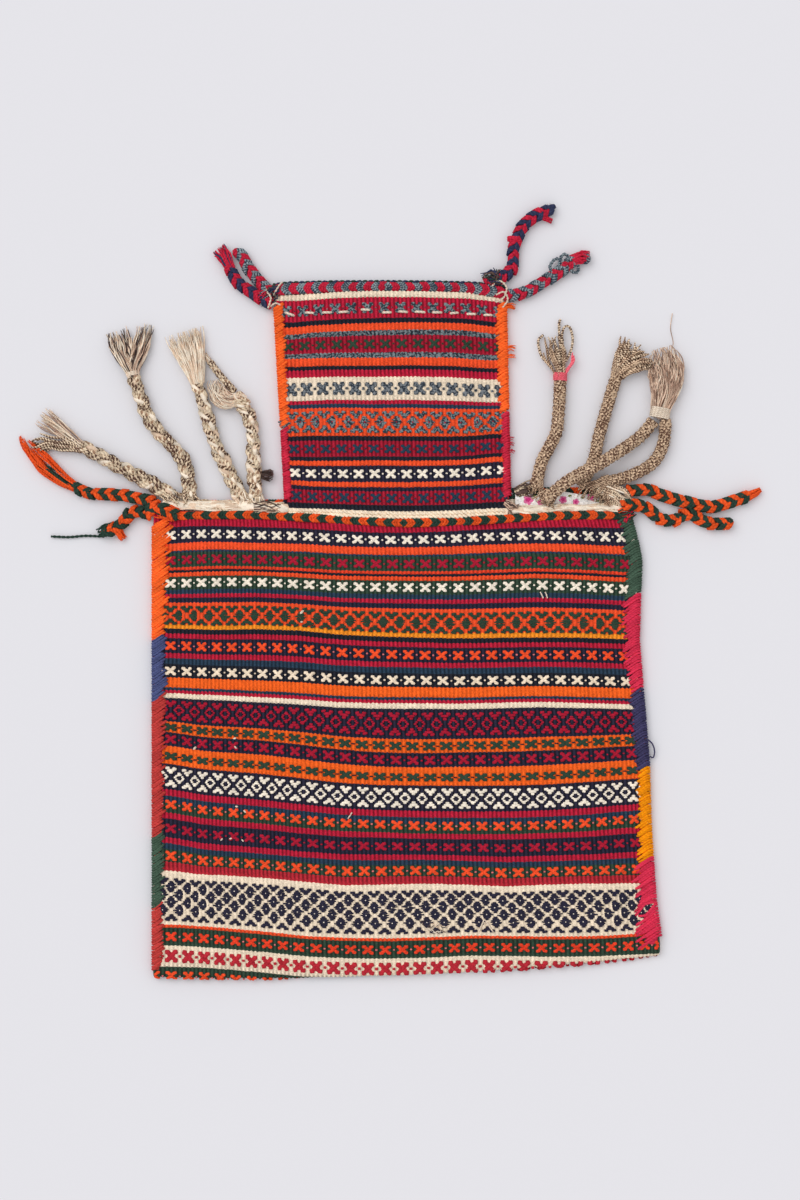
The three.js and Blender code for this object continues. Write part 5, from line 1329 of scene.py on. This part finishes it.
# Tufts along the right side of the neck: where they start and end, and their half widths and heights
for name, slot, yarn, heights, start, stop, count, radius, middle_size, end_size in [
    ("neck_tufts_orange", "orange_wool", "whip_orange_yarn", (254, 253, 219, 214), 76, 88, 13, 0.5,
     (2.2, 1.4), (2.2, 1)),
    ("neck_tufts_rose", "rose_wool", "neck_rose_yarn", (151, 146, 139), 78, 86, 7, 0.42, (1.8, 1), (1.4, 1)),
]:
    mesh = Mesh()
    for y in heights:
        stations = [(start, y, 6.4, 1.4, 1), (82, y + rng.uniform(-1, 2), 5.4, *middle_size),
                    (stop, y + rng.uniform(-2, 2), 3.6, *end_size)]
        bundle(mesh, stations, count, radius, [yarn], 0.7, 0.5)
    finish_piece(mesh, name, slot)
SIDE_LOOP = [(188.5, -85, 5.5), (192.4, -89, 4.5), (194, -95, 3.2), (192.8, -99.5, 2.6), (190.5, -98.5, 3.6)]
piece("side_loop_navy", "navy_wool", [], (tube, route(SIDE_LOOP, 1.5), 0.6, "whip_navy_yarn", 5))

# Stray bits of thread on the face, and the fibres of a worn patch
SPECKS = [
    (-81.5, 14.4, 1.3), (-81.6, 6.8, 0.9), (-133.8, -83.9, 1.0), (-165, -91.6, 1.1), (-133, -90.9, 0.9),
    (-132.2, -136.9, 1.0), (-126, -140.8, 0.9), (-143.9, -162.6, 0.8), (-136.9, -161.9, 0.9),
    (-127.5, -163.4, 0.8),
]
SPECK_SHAPE = [(-1, 0, 0.4), (-0.4, 0.4, 0.75), (0.4, 0.4, 0.75), (1, 0, 0.4)]
THREADS = [
    [(55.8, -235.2), (58.5, -229), (60.8, -225), (63.5, -229), (67.5, -234.4)],
    [(104.1, 30.0), (105.4, 27.6), (106.4, 25.3)], [(108, 30.0), (109, 27.6), (109.6, 25.3)],
    [(-45.6, -146.2), (-44, -144), (-42.5, -141.6)],
]
WORN_PATCH = [(9, -228), (20, -231), (33, -232)]
mesh = Mesh()
for x, y, size in SPECKS:
    lean = rng.uniform(-1, 1)
    tube(mesh, [(x + size * t, y + size * t * lean, on_face(x, y, 0.9 + h)) for t, h, _ in SPECK_SHAPE],
         [r * size for _, _, r in SPECK_SHAPE], THREAD, 6)
for line in THREADS:
    tube(mesh, route([(x, y, on_face(x, y, 1.5)) for x, y in line], 1.2), 0.55, THREAD, 5)
finish_piece(mesh, "stray_threads", "cream_wool")
piece("worn_patch_fibres", "brown_wool", [],
      (tangle, [(x, y, on_face(x, y, 1.0)) for x, y in WORN_PATCH], 18, 7.0, 0.32,
       ["dark_fuzz", "hair_light"], 3.4, 0.4))

for name, (made, path, kind, far_end) in made_cords.items():
    span = float(lengths(path)[-1]) * MM

# Floor, light and camera: the light is broad and soft and comes from the upper left
FLOOR_HALF = 30.0
FLOOR_COLOUR = (229, 228, 233)
SKY_STRENGTH, SUN_STRENGTH, SUN_SPREAD = 0.74, 1.04, math.radians(50)
SUN_WAY = Vector((0.55, -0.5, -1.0))
CAMERA_PLACE, LENS, SENSOR_WIDTH = (-0.00507, 0.0238, 2.218), 85.0, 36.0
scene = bpy.context.scene
floor_data = bpy.data.meshes.new("floor")
floor_data.from_pydata([(-FLOOR_HALF, -FLOOR_HALF, 0), (FLOOR_HALF, -FLOOR_HALF, 0),
                        (FLOOR_HALF, FLOOR_HALF, 0), (-FLOOR_HALF, FLOOR_HALF, 0)], [], [(0, 1, 2, 3)])
floor = bpy.data.objects.new("floor", floor_data)
scene.collection.objects.link(floor)
floor_material = bpy.data.materials.new("floor_paper")
floor_material.use_nodes = True
paper = floor_material.node_tree.nodes["Principled BSDF"].inputs
paper["Base Color"].default_value = [*linear(FLOOR_COLOUR), 1.0]
paper["Roughness"].default_value = 1.0
paper["Specular IOR Level"].default_value = 0.0
floor_data.materials.append(floor_material)

world = bpy.data.worlds.new("studio")
scene.world = world
world.use_nodes = True
sky = world.node_tree.nodes["Background"].inputs
sky["Color"].default_value = (1, 1, 1, 1)
sky["Strength"].default_value = SKY_STRENGTH

sun_data = bpy.data.lights.new("soft_light", "SUN")
sun_data.angle = SUN_SPREAD
sun_data.energy = SUN_STRENGTH
sun = bpy.data.objects.new("soft_light", sun_data)
sun.rotation_euler = SUN_WAY.to_track_quat("-Z", "Y").to_euler()
scene.collection.objects.link(sun)

camera_data = bpy.data.cameras.new("camera")
camera_data.lens = LENS
camera_data.sensor_width = SENSOR_WIDTH
camera = bpy.data.objects.new("camera", camera_data)
camera.location = CAMERA_PLACE
scene.collection.objects.link(camera)
scene.camera = camera
scene.view_settings.view_transform = "Standard"
